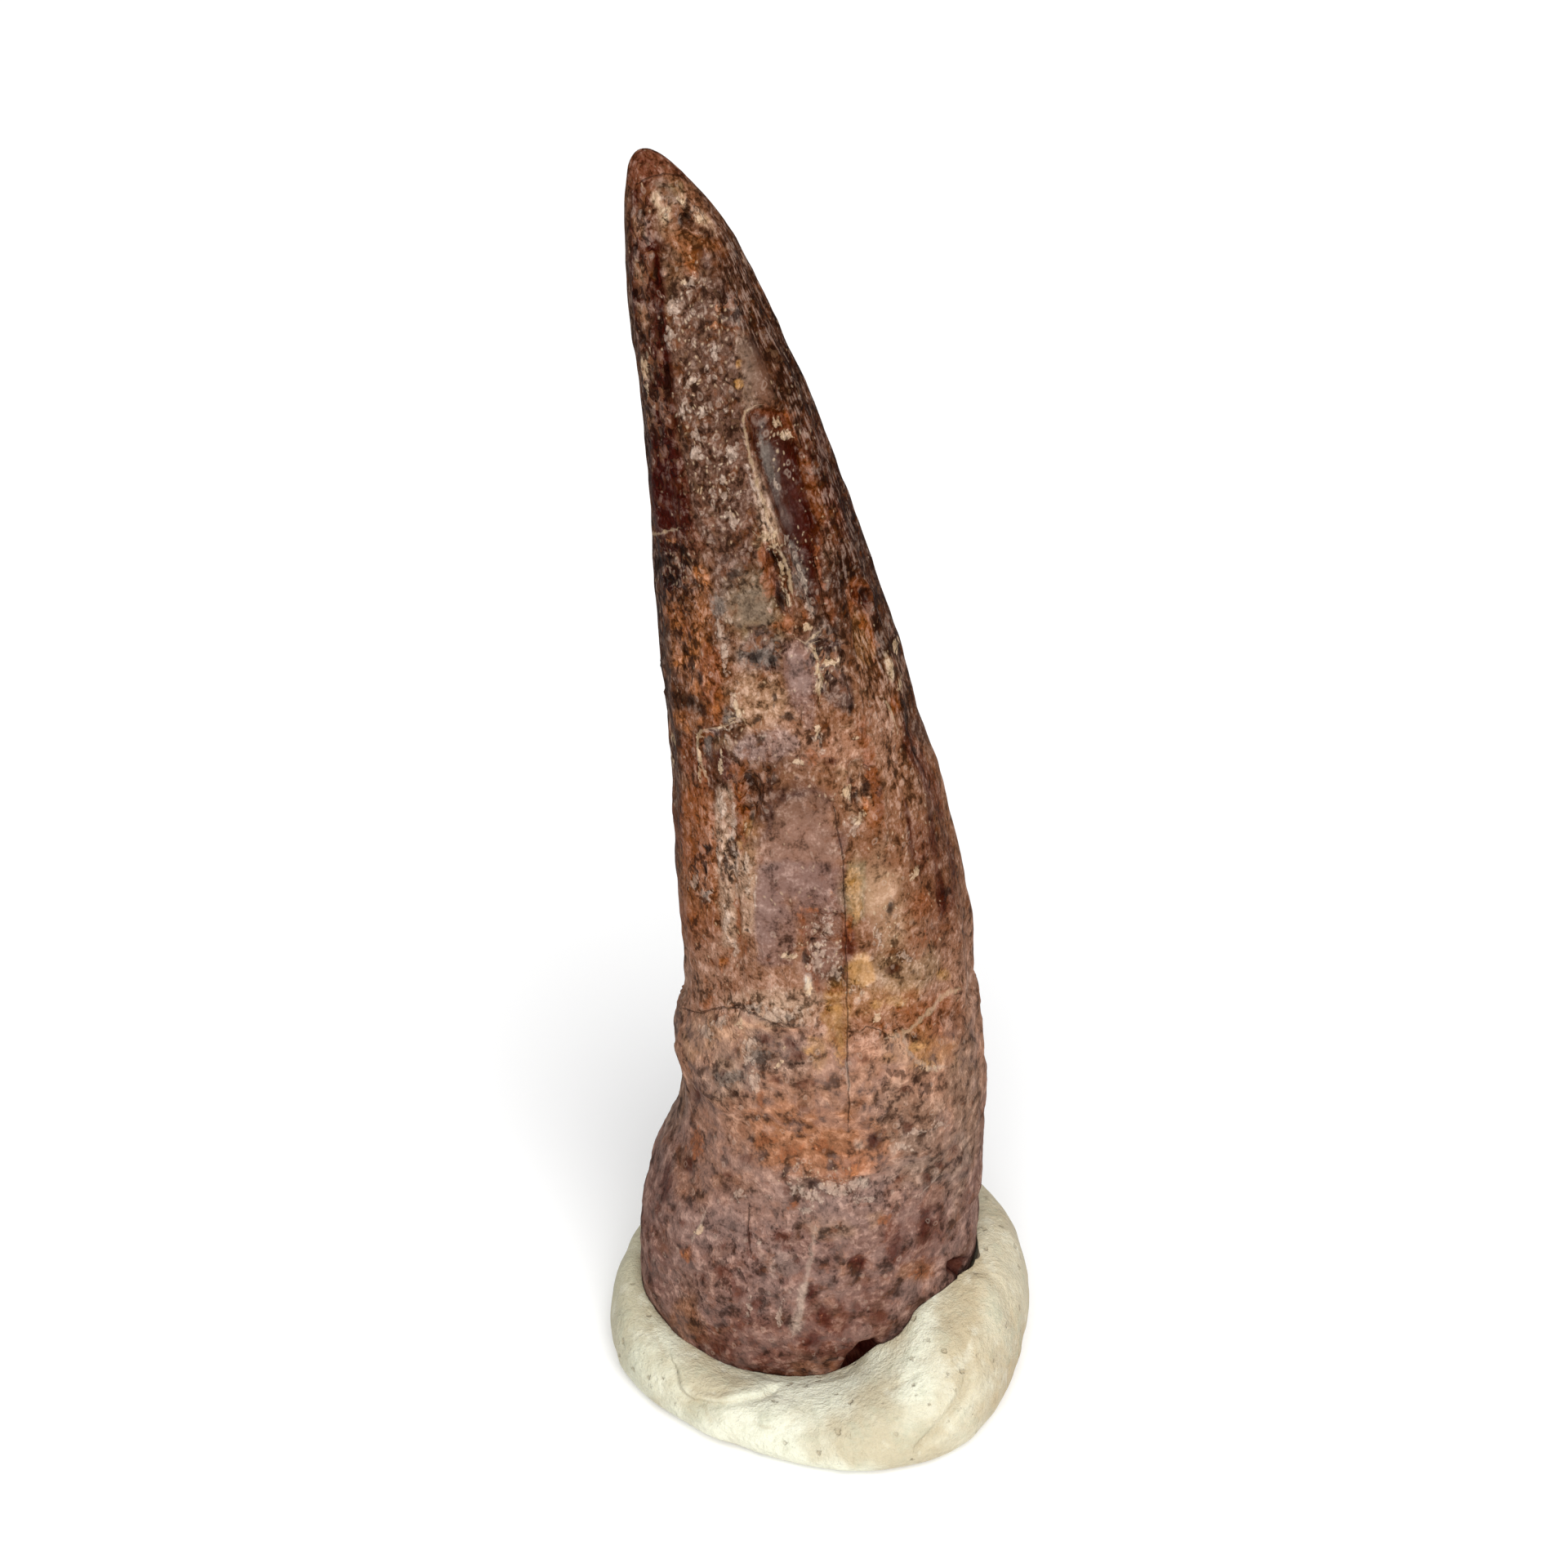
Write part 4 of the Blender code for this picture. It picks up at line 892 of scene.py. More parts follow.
def chipFields(grid, wobble):
    # distance from the nearest broken edge, how far sunk, how dark inside, and how rusty its rim
    shape = grid[0].shape
    edge = np.full(shape, 2.0)
    sunk, dark, rim = (np.zeros(shape) for _ in range(3))
    for name, (depth, outline) in chips.items():
        darkness, rust = chipLooks[name]
        for turn, flat in twinsOf(outline)[:1 if name in frontOnly else 2]:
            near, spots = nearPath(grid, turn, flat, edges["chipMargin"])
            away, side = pathDistance(spots, flat, True)
            signed = np.clip(away * side + wobble[near], -2.0, 2.0)
            edge[near] = np.minimum(edge[near], signed)
            foot = edges["chipWall"] - depth * edges["chipWallByDepth"]
            inside = 1.0 - smoothStep(*edges["chipInside"], signed)
            onRim = 1.0 - smoothStep(*edges["rim"], np.abs(signed + edges["rimInset"]))
            wall = 1.0 - smoothStep(foot, edges["chipTop"], signed)
            sunk[near] = np.maximum(sunk[near], depth * wall)
            dark[near] = np.maximum(dark[near], darkness * inside)
            rim[near] = np.maximum(rim[near], rust * onRim)
    return edge, sunk, dark, rim


def lineFields(table, grid):
    # signed distance in half widths, so that a thin line survives between vertices
    shape = grid[0].shape
    most = edges["lineWidths"]
    ratio, present, closest = np.full(shape, most), np.zeros(shape), np.full(shape, 99.0)
    for halfWidth, path in table:
        for turn, flat in twinsOf(path):
            near, spots = nearPath(grid, turn, flat, edges["lineMargin"])
            away, side = pathDistance(spots, flat, False)
            nearer = away < closest[near]
            closest[near] = np.where(nearer, away, closest[near])
            ratio[near] = np.where(nearer, np.clip(away * side / halfWidth, -most, most), ratio[near])
            present[near] = np.maximum(present[near], 1.0 - smoothStep(*edges["line"], away))
    return ratio, present


def plateSteps(grid):
    rise = np.zeros(grid[0].shape)
    for height, path in plateEdges:
        for turn, flat in twinsOf(path):
            near, spots = nearPath(grid, turn, flat, edges["stepMargin"])
            away, side = pathDistance(spots, flat, False)
            fade = 1.0 - smoothStep(*edges["stepFade"], away)
            rise[near] += height * fade * (smoothStep(-edges["step"], edges["step"], away * side) - 0.5)
    return rise


def layPatches(grid, ground, wobble):
    # clear-edged patches over the broad colours, and how far each stands up
    rise = np.zeros(grid[0].shape)
    for lift, name, weight, outline in patches:
        for turn, flat in twinsOf(outline):
            near, spots = nearPath(grid, turn, flat, edges["patchMargin"])
            away, side = pathDistance(spots, flat, True)
            share = 1.0 - smoothStep(-edges["patch"], edges["patch"], away * side + wobble[near])
            ground[near] += (paint(name) - ground[near]) * (weight * share)[:, None]
            rise[near] += lift * share
    return rise


def toothSurface():
    # every vertex of the tooth, its relief, and the fields that its finish reads
    columnTurns, rowHeights = toothGrid()
    heights, turns = np.meshgrid(rowHeights, columnTurns, indexing="ij")
    radii = girthRadius(heights)
    grid = (turns, heights, radii)
    base = surfacePoint(turns, heights)
    around = np.stack([np.cos(np.radians(turns)), np.sin(np.radians(turns))], axis=-1)
    straight = np.concatenate([tooth["straightRadius"] * around, heights[..., None]], axis=-1)
    shuffle = random.Random(backShift["seed"])

    # a little warp, so that no mark is a plain oval
    warpRound = cloudOf("warpRound", base)
    warpUp = cloudOf("warpUp", base)
    warpedGrid = (turns + np.degrees(warpRound / radii), heights + warpUp, radii)
    warped = {"place": base, "edge": cloudOf("tintEdge", base)}
    ground = groundColours(warpedGrid, warped, shuffle)
    wobble = cloudOf("wobble", base)
    patchRise = layPatches(grid, ground, wobble * edges["patchWobble"] + cloudOf("patchEdge", base))
    levels = {kind: levelField(table, warpedGrid, shuffle) for kind, table in marks.items()}
    grainWarp = relief["grainWarp"] * warped["edge"]
    grains = {kind: smoothStep(*relief["grainFade"], levelField(table, grid, shuffle) + grainWarp)
              for kind, table in textures.items()}
    edge, sunk, dark, rim = chipFields(grid, wobble * edges["chipWobble"])
    lineGrid = (turns + edges["lineWarp"] * np.degrees(warpRound / radii),
                heights + edges["lineWarp"] * warpUp, radii)
    crackRatio, crackThere = lineFields(cracks, lineGrid)
    veinRatio, veinThere = lineFields(veins, lineGrid)
    print("tooth marks laid out")

    crown = smoothStep(-tooth["ledgeSlope"], tooth["ledgeSlope"],
                       heights - ledgeHeights(turns) + cloudOf("ledgeEdge", base))
    ribbed = crown * (1.0 - smoothStep(*tooth["tipSmooth"], heights))
    nearLedge = 1.0 - smoothStep(*tooth["ledgeBand"], np.abs(heights - ledgeHeights(turns)))
    grained = base * np.stack([np.ones_like(crown), np.ones_like(crown),
                               1.0 + (relief["stretch"] - 1.0) * crown], axis=-1)

    def between(rootValue, crownValue):
        return rootValue + (crownValue - rootValue) * crown

    rise = tooth["fluteDepth"] * np.cos(np.radians(turns) * tooth["fluteCount"]) * ribbed
    for keel in tooth["keels"]:
        rise += tooth["keelHeight"] * np.exp(-(wrapTurn(turns - keel) / tooth["keelWidth"])**2) * ribbed
    rise += tooth["ledgeStep"] * (1.0 - crown) * smoothStep(0.0, tooth["ledgeStepFull"], heights)
    rise += between(relief["rootLumps"], relief["crownLumps"]) * cloudOf("lumps", base)
    pebbles = between(relief["rootPebbles"], relief["crownPebbles"] * ribbed)
    rise += pebbles * cloudOf("pebbles", grained)
    grit = between(relief["rootGrit"], relief["crownGrit"]) + relief["ledgeGrit"] * nearLedge
    rise += grit * cloudOf("grit", grained) * (1.0 - relief["polish"] * grains["gloss"])
    rise += between(relief["rootSand"], relief["crownSand"]) * cloudOf("sand", grained)
    for turn, height, halfWidth, halfLength, depth, slant in dents:
        across = np.radians(wrapTurn(turns - turn)) * radii + slant * (heights - height)
        reach = np.hypot(across / halfWidth, (heights - height) / halfLength)
        rise -= depth * (1.0 - smoothStep(*relief["dentFade"], reach))
    for kind in ("cream", "chalk", "rust"):
        rise += relief[kind + "Rise"] * smoothStep(*relief["crustFade"], levels[kind])
    rise -= relief["blackSink"] * smoothStep(*relief["blackFade"], levels["black"])
    rise += relief["lipRise"] * rim * (edge > relief["lipFrom"])
    rise += plateSteps(lineGrid) + patchRise
    rise -= sunk
    crackFade = smoothStep(*relief["crackFade"], np.abs(crackRatio))
    veinFade = smoothStep(*relief["veinFade"], np.abs(veinRatio))
    rise -= relief["crackSink"] * crackThere * (1.0 - crackFade)
    rise += relief["veinRise"] * veinThere * (1.0 - veinFade)

    # the root's lower edge is rounded over
    lift = heights - tooth["bottom"]
    rise -= tooth["footRound"] * (1.0 - smoothStep(0.0, tooth["footHeight"], lift))

    # colours can't be below 0, so what goes both ways is kept about a half
    def shares(*layers):
        return np.stack(layers, axis=-1)

    def aboutHalf(kinds):
        return shares(*(levels[kind] * 0.5 + 0.5 for kind in kinds))

    across = 2.0 * edges["lineWidths"]
    fields = {
        "ground": np.concatenate([ground, np.ones(turns.shape + (1,))], axis=-1),
        "crusts": aboutHalf(("cream", "chalk", "black", "rust")),
        "stains": aboutHalf(("orange", "ochre", "slate", "maroon")),
        "grains": shares(*(grains[kind] for kind in ("sugar", "flecks", "gloss", "streaks"))),
        "chipping": shares(edge * 0.25 + 0.5, dark, rim, crown),
        "lines": shares(crackRatio / across + 0.5, crackThere, veinRatio / across + 0.5, veinThere),
    }
    return turns, heights, rise, straight, fields


def outwardAt(turns, heights):
    _, halfWidth, halfDepth = section(heights)
    angle = np.radians(turns)
    out = np.stack([np.cos(angle) / halfWidth, np.sin(angle) / halfDepth, 0.0 * angle], axis=-1)
    return out / np.linalg.norm(out, axis=-1, keepdims=True)


def gridFaces(rows, columns):
    row, column = np.meshgrid(np.arange(rows - 1), np.arange(columns), indexing="ij")
    beside = (column + 1) % columns
    corners = (row * columns + column, row * columns + beside,
               (row + 1) * columns + beside, (row + 1) * columns + column)
    return np.stack(corners, axis=-1).reshape(-1, 4)


def fanFaces(firstVertex, columns, centre, facesUp):
    ring = [firstVertex + c for c in range(columns)]
    pairs = zip(ring, ring[1:] + ring[:1])
    return [(a, b, centre) if facesUp else (b, a, centre) for a, b in pairs]


def makePiece(name, points, faces, material, layers):
    mesh = bpy.data.meshes.new(name)
    mesh.from_pydata((points * metre).tolist(), [], faces)
    mesh.polygons.foreach_set("use_smooth", np.ones(len(mesh.polygons), bool))
    for layerName, values in layers.items():
        isPlace = values.shape[-1] == 3
        layer = mesh.attributes.new(layerName, "FLOAT_VECTOR" if isPlace else "FLOAT_COLOR", "POINT")
        layer.data.foreach_set("vector" if isPlace else "color",
                               np.ascontiguousarray(values, np.float32).ravel())
    mesh.materials.append(material)
    piece = bpy.data.objects.new(name, mesh)
    bpy.context.scene.collection.objects.link(piece)
    return piece


def cappedMesh(grids, centres):
    # rows of rings, closed by a fan at each end
    points = np.concatenate([grids.reshape(-1, 3), np.array(centres)])
    rows, columns = grids.shape[:2]
    faces = gridFaces(rows, columns).tolist()
    faces += fanFaces(0, columns, len(points) - 2, False)
    faces += fanFaces((rows - 1) * columns, columns, len(points) - 1, True)
    return points, faces


def withCaps(values):
    # a field's value at the two closing points is its end row's average
    rows = values.reshape(values.shape[0], values.shape[1], -1)
    ends = np.stack([rows[0].mean(axis=0), rows[-1].mean(axis=0)])
    return np.concatenate([rows.reshape(-1, rows.shape[-1]), ends])


def makeTooth(material):
    turns, heights, rise, straight, fields = toothSurface()
    outward = outwardAt(turns, heights)
    body = surfacePoint(turns, heights) + outward * rise[..., None]

    # rounded tip: the last ring closes over a blunt cap that leans on along the curve
    last = body[-1]
    centre = last.mean(axis=0)
    lean = np.array([-tooth["tipLean"], 0.0, 1.0]) * (tooth["top"] - centre[2])
    turnsUp = np.radians(np.linspace(0.0, tooth["domeTurn"], tooth["domeRows"] + 1)[1:])
    dome = [centre + (last - centre) * math.cos(t) + lean * math.sin(t)**2 for t in turnsUp]
    grid = np.concatenate([body, np.array(dome)])
    points, faces = cappedMesh(grid, [body[0].mean(axis=0), centre + lean])
    layers = {}
    for name, values in {**fields, "straight": straight}.items():
        layers[name] = withCaps(np.concatenate([values, np.repeat(values[-1:], len(dome), axis=0)]))
    piece = makePiece("tooth_fossil", points, faces, material, layers)
    print("tooth made:", len(points), "vertices")
    return piece, (turns[0], heights[:, 0], rise)


class Value:
    # a socket in a material: arithmetic on it adds the matching Math nodes
    def __init__(self, finish, socket):
        self.finish = finish
        self.socket = socket

    def math(self, operation, *terms):
        return self.finish.node("ShaderNodeMath", {"operation": operation}, dict(enumerate(terms)))

    def __add__(self, other):
        return self.math("ADD", self, other)

    def __sub__(self, other):
        return self.math("SUBTRACT", self, other)

    def __rsub__(self, other):
        return self.math("SUBTRACT", other, self)

    def __mul__(self, other):
        return self.math("MULTIPLY", self, other)

    def __abs__(self):
        return self.math("ABSOLUTE", self)

    __radd__ = __add__
    __rmul__ = __mul__

    def atLeast(self, other):
        return self.math("MAXIMUM", self, other)

    def step(self, low, high):
        # 0 below low and 1 above high, with a soft change between
        settings = {"interpolation_type": "SMOOTHSTEP", "clamp": True}
        inputs = {0: self, 1: low, 2: high, 3: 0.0, 4: 1.0}
        return self.finish.node("ShaderNodeMapRange", settings, inputs)


class Finish:
    # one material, built node by node
    def __init__(self, name):
        self.material = bpy.data.materials.new(name)
        self.material.use_nodes = True
        self.tree = self.material.node_tree
        self.shader = self.tree.nodes["Principled BSDF"]

    def feed(self, socket, value):
        if isinstance(value, Value):
            self.tree.links.new(value.socket, socket)
        elif isinstance(value, str):
            colour = [float(c) for c in paint(value)]
            socket.default_value = (*colour, 1.0)
        else:
            socket.default_value = value

    def node(self, kind, settings, inputs, output=0):
        made = self.tree.nodes.new(kind)
        for name, value in settings.items():
            setattr(made, name, value)
        for name, value in inputs.items():
            self.feed(made.inputs[name], value)
        return Value(self, made.outputs[output])

    def mix(self, share, under, over):
        return self.node("ShaderNodeMix", {"data_type": "RGBA", "clamp_factor": True},
                         {0: share, 6: under, 7: over}, 2)

    def scaled(self, vector, factors):
        return self.node("ShaderNodeVectorMath", {"operation": "MULTIPLY"}, {0: vector, 1: factors})

    def brightened(self, colour, gain):
        return self.node("ShaderNodeVectorMath", {"operation": "SCALE"}, {0: colour, 3: gain})

    def noise(self, vector, scale, detail=2.0, roughness=0.5):
        return self.node("ShaderNodeTexNoise", {"noise_dimensions": "3D"},
                         {"Vector": vector, "Scale": scale, "Detail": detail, "Roughness": roughness})

    def warped(self, vector, scale, amount):
        # a place pushed about by noise, so that what is laid on it isn't regular
        push = self.node("ShaderNodeTexNoise", {"noise_dimensions": "3D"},
                         {"Vector": vector, "Scale": scale, "Detail": 1.0}, "Color")
        centred = self.node("ShaderNodeVectorMath", {"operation": "SUBTRACT"},
                            {0: push, 1: (0.5, 0.5, 0.5)})
        return self.node("ShaderNodeVectorMath", {"operation": "MULTIPLY_ADD"},
                         {0: centred, 1: (amount, amount, amount), 2: vector})

    def grains(self, vector, scale):
        # rounded grains: 1 on top of each and 0 in the gaps, and two chance numbers for each
        distance = self.node("ShaderNodeTexVoronoi", {"voronoi_dimensions": "3D", "feature": "F1"},
                             {"Vector": vector, "Scale": scale}, "Distance")
        chances = self.parted(Value(self, distance.socket.node.outputs["Color"]), 2)
        return distance, 1.0 - distance.step(0.15, 0.72), *chances

    def parted(self, colour, count):
        return [self.node("ShaderNodeSeparateColor", {"mode": "RGB"}, {0: colour}, part)
                for part in range(count)]

    def attribute(self, name, output):
        settings = {"attribute_type": "GEOMETRY", "attribute_name": name}
        return self.node("ShaderNodeAttribute", settings, {}, output)

    def field(self, name):
        # an attribute's colour, and its four values
        layer = self.attribute(name, "Color")
        alpha = Value(self, layer.socket.node.outputs["Alpha"])
        return layer, [*self.parted(layer, 3), alpha]

    def axis(self, vector, index):
        return self.node("ShaderNodeSeparateXYZ", {}, {0: vector}, index)

    def place(self):
        # place on the object, in millimetres
        spot = self.node("ShaderNodeTexCoord", {}, {}, "Object")
        return self.scaled(spot, (1 / metre, 1 / metre, 1 / metre))


enamel = {
    "shade": 0.670, "dark": 0.26, "light": 1.90, "rag": 1.7, "fineRag": 1.2,
    "roughBase": 0.62, "roughGloss": 0.34, "bump": 0.00022, "coat": 0.30,
}


def enamelFinish():
    f = Finish("fossilEnamel")
    place = f.place()
    straight = f.attribute("straight", "Vector")
    lengthwise = f.scaled(straight, (1.0, 1.0, 0.15))
    ground, _ = f.field("ground")
    _, (cream, chalk, black, rust) = f.field("crusts")
    _, (orange, ochre, slate, maroon) = f.field("stains")
    _, (sugar, flecks, gloss, streaks) = f.field("grains")
    _, (_, dark, rim, crown) = f.field("chipping")
    _, (crackRatio, crackThere, veinRatio, veinThere) = f.field("lines")

    # rounded grains of two sizes, a little longer up the tooth than across it
    upTooth = f.axis(straight, 2)
    grainPlace = f.warped(f.scaled(place, (1.0, 1.0, 0.68)), 1.4, 0.50)
    grainGap, grainTop, grainChance, grainHue = f.grains(grainPlace, 2.1)
    sandGap, sandTop, sandChance, sandHue = f.grains(grainPlace, 4.6)
    fibre = f.noise(lengthwise, 1.6, 3.0, 0.62) - 0.5
    fineFibre = f.noise(lengthwise, 5.5, 2.0, 0.55) - 0.5
    mottle = f.noise(place, 0.50, 4.0, 0.60) - 0.5
    blotch = f.noise(f.warped(place, 0.5, 0.9), 0.95, 3.0, 0.62) - 0.5
    crumb = f.noise(grainPlace, 2.0, 3.0, 0.66) - 0.5
    sand = f.noise(place, 5.0, 2.0, 0.6) - 0.5

    # every colour runs from a dark to a light tone, grain by grain and in patches: most
    # grainy near the tip, less on polished plates, and softest on the root
    rootShare = 1.0 - crown
    busy = 1.0 - gloss * 0.75
    grainy = busy * (0.16 + upTooth.step(46.0, 72.0) * 0.20 + sugar * 0.05) * (1.0 - rootShare * 0.45)
    dashPlace = f.warped(f.scaled(straight, (1.0, 1.0, 0.30)), 1.0, 0.35)
    _, dashTop, dashChance, _ = f.grains(dashPlace, 3.2)
    dashes = ((dashTop - 0.42) * 0.60 + (dashChance - 0.5) * 0.70) * streaks * busy
    crumbs = crumb * (1.25 + flecks * (1.6 - rootShare * 0.9) - rootShare * 0.75) * busy
    tone = (0.46 + ((grainTop - 0.42) * 0.75 + (grainChance - 0.5) * 0.55
                    + (sandTop - 0.42) * 0.50 + (sandChance - 0.5) * 0.60) * grainy
            + dashes * upTooth.step(44.0, 64.0)
            + (fibre * (0.16 + streaks * 0.20) + fineFibre * (0.14 + streaks * 0.14)) * busy * crown
            + mottle * 1.15 + blotch * (1.0 - gloss * 0.3 + rootShare * 0.9)
            + crumbs + sand * (0.60 - rootShare * 0.25))
    spread = tone.step(-0.12, 1.08)
    deep = f.mix(0.35, f.brightened(ground, enamel["dark"]), "soot")
    pale = f.mix(0.23 + sugar * 0.08 + rootShare * 0.03, f.brightened(ground, enamel["light"]), "chalk")
    colour = f.mix((spread * 2.0).step(0.0, 1.0), deep, ground)
    colour = f.mix((spread * 2.0 - 1.0).step(0.0, 1.0), colour, pale)
    warmth = f.noise(place, 0.9, 3.0, 0.6)
    colour = f.mix(warmth.step(0.52, 0.70) * 0.28 * busy, colour, "rust")
    colour = f.mix((1.0 - warmth).step(0.54, 0.72) * 0.26 * busy, colour, "umber")
    colour = f.mix(grainHue.step(0.78, 0.86) * 0.30 * grainy, colour, "rust")
    colour = f.mix(grainHue.step(0.60, 0.68) * flecks * crown * 0.45, colour, "peach")
    colour = f.mix(sandHue.step(0.82, 0.90) * 0.40 * grainy, colour, "tan")

    haze = f.noise(f.warped(place, 0.4, 1.2), 0.42, 3.0, 0.6)
    colour = f.mix(haze.step(0.46, 0.62) * rootShare * 0.36, colour, "lilac")
    colour = f.mix((1.0 - haze).step(0.52, 0.66) * rootShare * 0.30, colour, "brown")

    # broken places are dark inside; in the notch and the side notch this is partly painted shade in the
    # hollow
    inside = f.mix((fineFibre * 1.4 + fibre + blotch + 0.5).step(0.30, 0.85), "maroon", "wine")
    colour = f.mix(dark * 0.85, colour, inside)

    crystals = (grainTop - 0.42) * 0.34 + (grainChance - 0.5) * 0.44 + (sandTop - 0.42) * 0.20

    def ragged(level, noise, cut=0.14, edge=0.24):
        # a mark whose edge breaks up into crumbs
        return ((level * 2.0 - 1.0) + noise * enamel["rag"] + sand * enamel["fineRag"]).step(
            cut - edge, cut + edge)

    def tinted(name):
        # a mark's own colour, as uneven as what it lies on
        channels = dict(enumerate(float(c) for c in paint(name)))
        solid = f.node("ShaderNodeCombineColor", {"mode": "RGB"}, channels)
        return f.brightened(solid, (0.92 + crystals * 0.9 + crumb * 0.9 + sand * 0.9).atLeast(0.25))

    stainNoise = f.noise(place, 2.0, 3.0, 0.62) - 0.5
    for level, name, strength, noise, edge in (
            (maroon, "maroon", 0.62, fibre, 0.45), (slate, "slate", 0.72, stainNoise, 0.40),
            (rust, "rust", 0.66, crystals, 0.42), (orange, "orange", 0.55, crystals, 0.40),
            (ochre, "ochre", 0.74, stainNoise, 0.50)):
        colour = f.mix(ragged(level, noise, 0.10, edge) * strength, colour, tinted(name))
    colour = f.mix(rim * (crumb * 2.4 + 0.70).step(0.3, 1.0) * 0.72, colour, tinted("brick"))

    # dark specks, then pale grains like spilt sugar
    fleckNoise = f.noise(grainPlace, 1.25, 3.0, 0.64)
    fleckMask = (fleckNoise + flecks * 0.09 - gloss * 0.12 - rootShare * 0.02).step(0.60, 0.70)
    colour = f.mix(fleckMask * (0.42 + flecks * 0.40 - rootShare * 0.20), colour, "soot")
    sugarTop = 1.0 - sandGap.step(0.18, 0.55)
    sugarMask = sugarTop * (sandChance + sugar * 0.30 - rootShare * 0.1).step(0.93, 1.02)
    colour = f.mix(sugarMask * 0.55, colour, "cream")
    ringMask = grainGap.step(0.16, 0.26) * (1.0 - grainGap.step(0.34, 0.48))
    ringMask = ringMask * (grainHue + sugar * 0.30).step(0.86, 1.0)
    colour = f.mix(ringMask * 0.26, colour, "chalk")
    chalkMask = ragged(chalk, crystals)
    creamMask = ragged(cream, crystals)
    spotColour = f.mix(rootShare * 0.9, "black", "wine")
    blackMask = ragged(black, stainNoise, 0.14, 0.45)
    colour = f.mix(blackMask * (0.78 - rootShare * 0.28), colour, spotColour)
    colour = f.mix(chalkMask * 0.44, colour, tinted("chalk"))
    colour = f.mix(creamMask * 0.60, colour, tinted("cream"))

    crack = crackThere * (1.0 - (abs(crackRatio * 16.0 - 8.0) + crumb * 2.0).step(0.3, 1.4))
    vein = veinThere * (1.0 - (abs(veinRatio * 16.0 - 8.0) + crumb * 6.0).step(0.2, 1.7))
    colour = f.mix(crack * 0.42, colour, "umber")
    colour = f.mix(vein * (0.46 - rootShare * 0.12), colour, f.mix(rootShare, "cream", "chalk"))
    saturation = 1.02 + crown * (0.5 - spread) * 0.26
    shaded = f.brightened(colour, enamel["shade"] + rootShare * 0.03)
    rich = f.node("ShaderNodeHueSaturation", {}, {"Saturation": saturation, "Color": shaded})
    f.feed(f.shader.inputs["Base Color"], rich)

    crusty = creamMask.atLeast(chalkMask).atLeast(sugarMask)
    polish = enamel["roughBase"] - enamel["roughGloss"]
    rough = enamel["roughBase"] + rootShare * 0.12 - gloss * polish + crumb * 0.5 + crusty * 0.25
    f.feed(f.shader.inputs["Roughness"], rough.atLeast(0.22))
    f.feed(f.shader.inputs["Coat Weight"], gloss * (0.5 + crumb * 2.4) * enamel["coat"])
    f.shader.inputs["Coat Roughness"].default_value = 0.20
    f.shader.inputs["Specular IOR Level"].default_value = 0.02
    height = ((grainTop * 0.9 + sandTop * 0.45) * grainy + tone * 0.30 + (crumb * 1.2 + blotch) * busy
              + crusty * 0.25 - fleckMask * 0.35 - crack * 1.0)
    bump = f.node("ShaderNodeBump", {},
                  {"Strength": 0.85, "Distance": enamel["bump"], "Height": height})
    f.feed(f.shader.inputs["Normal"], bump)
    return f.material


# The putty: outer, crest and contact at every step round, from +X
putty = {
    "ring": [(17.1, 10.1, 9.6), (17.3, 9.4, 8.8), (17.0, 9.2, 8.0), (16.8, 8.8, 7.4), (16.8, 8.6, 7.2),
             (16.8, 8.2, 6.6), (16.8, 7.0, 5.4), (17.2, 5.8, 4.4), (17.3, 4.8, 3.6), (15.1, 4.2, 3.0),
             (15.8, 4.0, 2.6), (17.3, 4.7, 3.3), (18.7, 8.1, 8.4), (16.9, 9.8, 9.6)],
    "flatInset": 2.6, "flatSpread": 2.2, "footInset": 0.9, "sideShare": 0.38, "shoulder": (0.78, 0.88),
    "crestShare": 0.40, "contactInset": 1.6, "contactSpread": 2.0, "contactDrop": 0.8,
    "columns": 460, "rows": 150, "wallRows": 24, "clearance": 0.05, "socketFloor": 0.95,
    # open gaps beside the tooth: turn, spread, width, and the heights that they open between
    "gaps": [(346.0, 8.0, 1.00, 5.0, 8.5), (306.0, 7.0, 0.55, 3.0, 5.5)],
    "deepest": 0.2, "openSurface": (0.15, 1.2), "hollow": (11.0, 2.0), "facing": (-0.1, 0.25),
    "lipFade": 16.0, "crestRow": 3.3, "socketSpan": (1.2, 12.0), "touch": 0.9,
}

# Creases pressed into the putty: depth, half width in pixels, how far one side stands above
# the other, then x, y along the crease
creases = [
    (0.3, 5.0, 0.34, [(826, 1672), (829, 1686), (833, 1701), (844, 1711), (857, 1717), (882, 1719),
        (906, 1716), (931, 1709), (945, 1701)]),
    (0.1, 5.0, 0.1, [(850, 1700), (868, 1704), (888, 1702)]),
    (0.14, 5.0, -0.1, [(857, 1718), (864, 1727), (872, 1738)]),
    (0.1, 4.5, 0.06, [(925, 1740), (935, 1746), (946, 1747)]),
    (0.1, 4.5, 0.06, [(962, 1749), (968, 1745), (972, 1738)]),
    (0.38, 6.0, 0.26, [(1186, 1690), (1178, 1710), (1168, 1726), (1150, 1750), (1128, 1774)]),
    (0.12, 7.0, 0.1, [(1160, 1612), (1172, 1632), (1182, 1652), (1187, 1680)]),
    (0.16, 8.0, -0.12, [(1188, 1556), (1206, 1562), (1226, 1580), (1240, 1620)]),
    (0.1, 6.0, 0.08, [(788, 1596), (796, 1622), (812, 1652)]),
    (0.1, 5.0, 0.06, [(1090, 1700), (1104, 1694), (1118, 1684)]),
]
puttySwells = [(0.35, 46.0, 872, 1752), (0.30, 60.0, 1050, 1722), (0.22, 40.0, 1150, 1640),
               (0.25, 34.0, 1205, 1500), (-0.20, 36.0, 985, 1762), (0.20, 40.0, 790, 1640)]


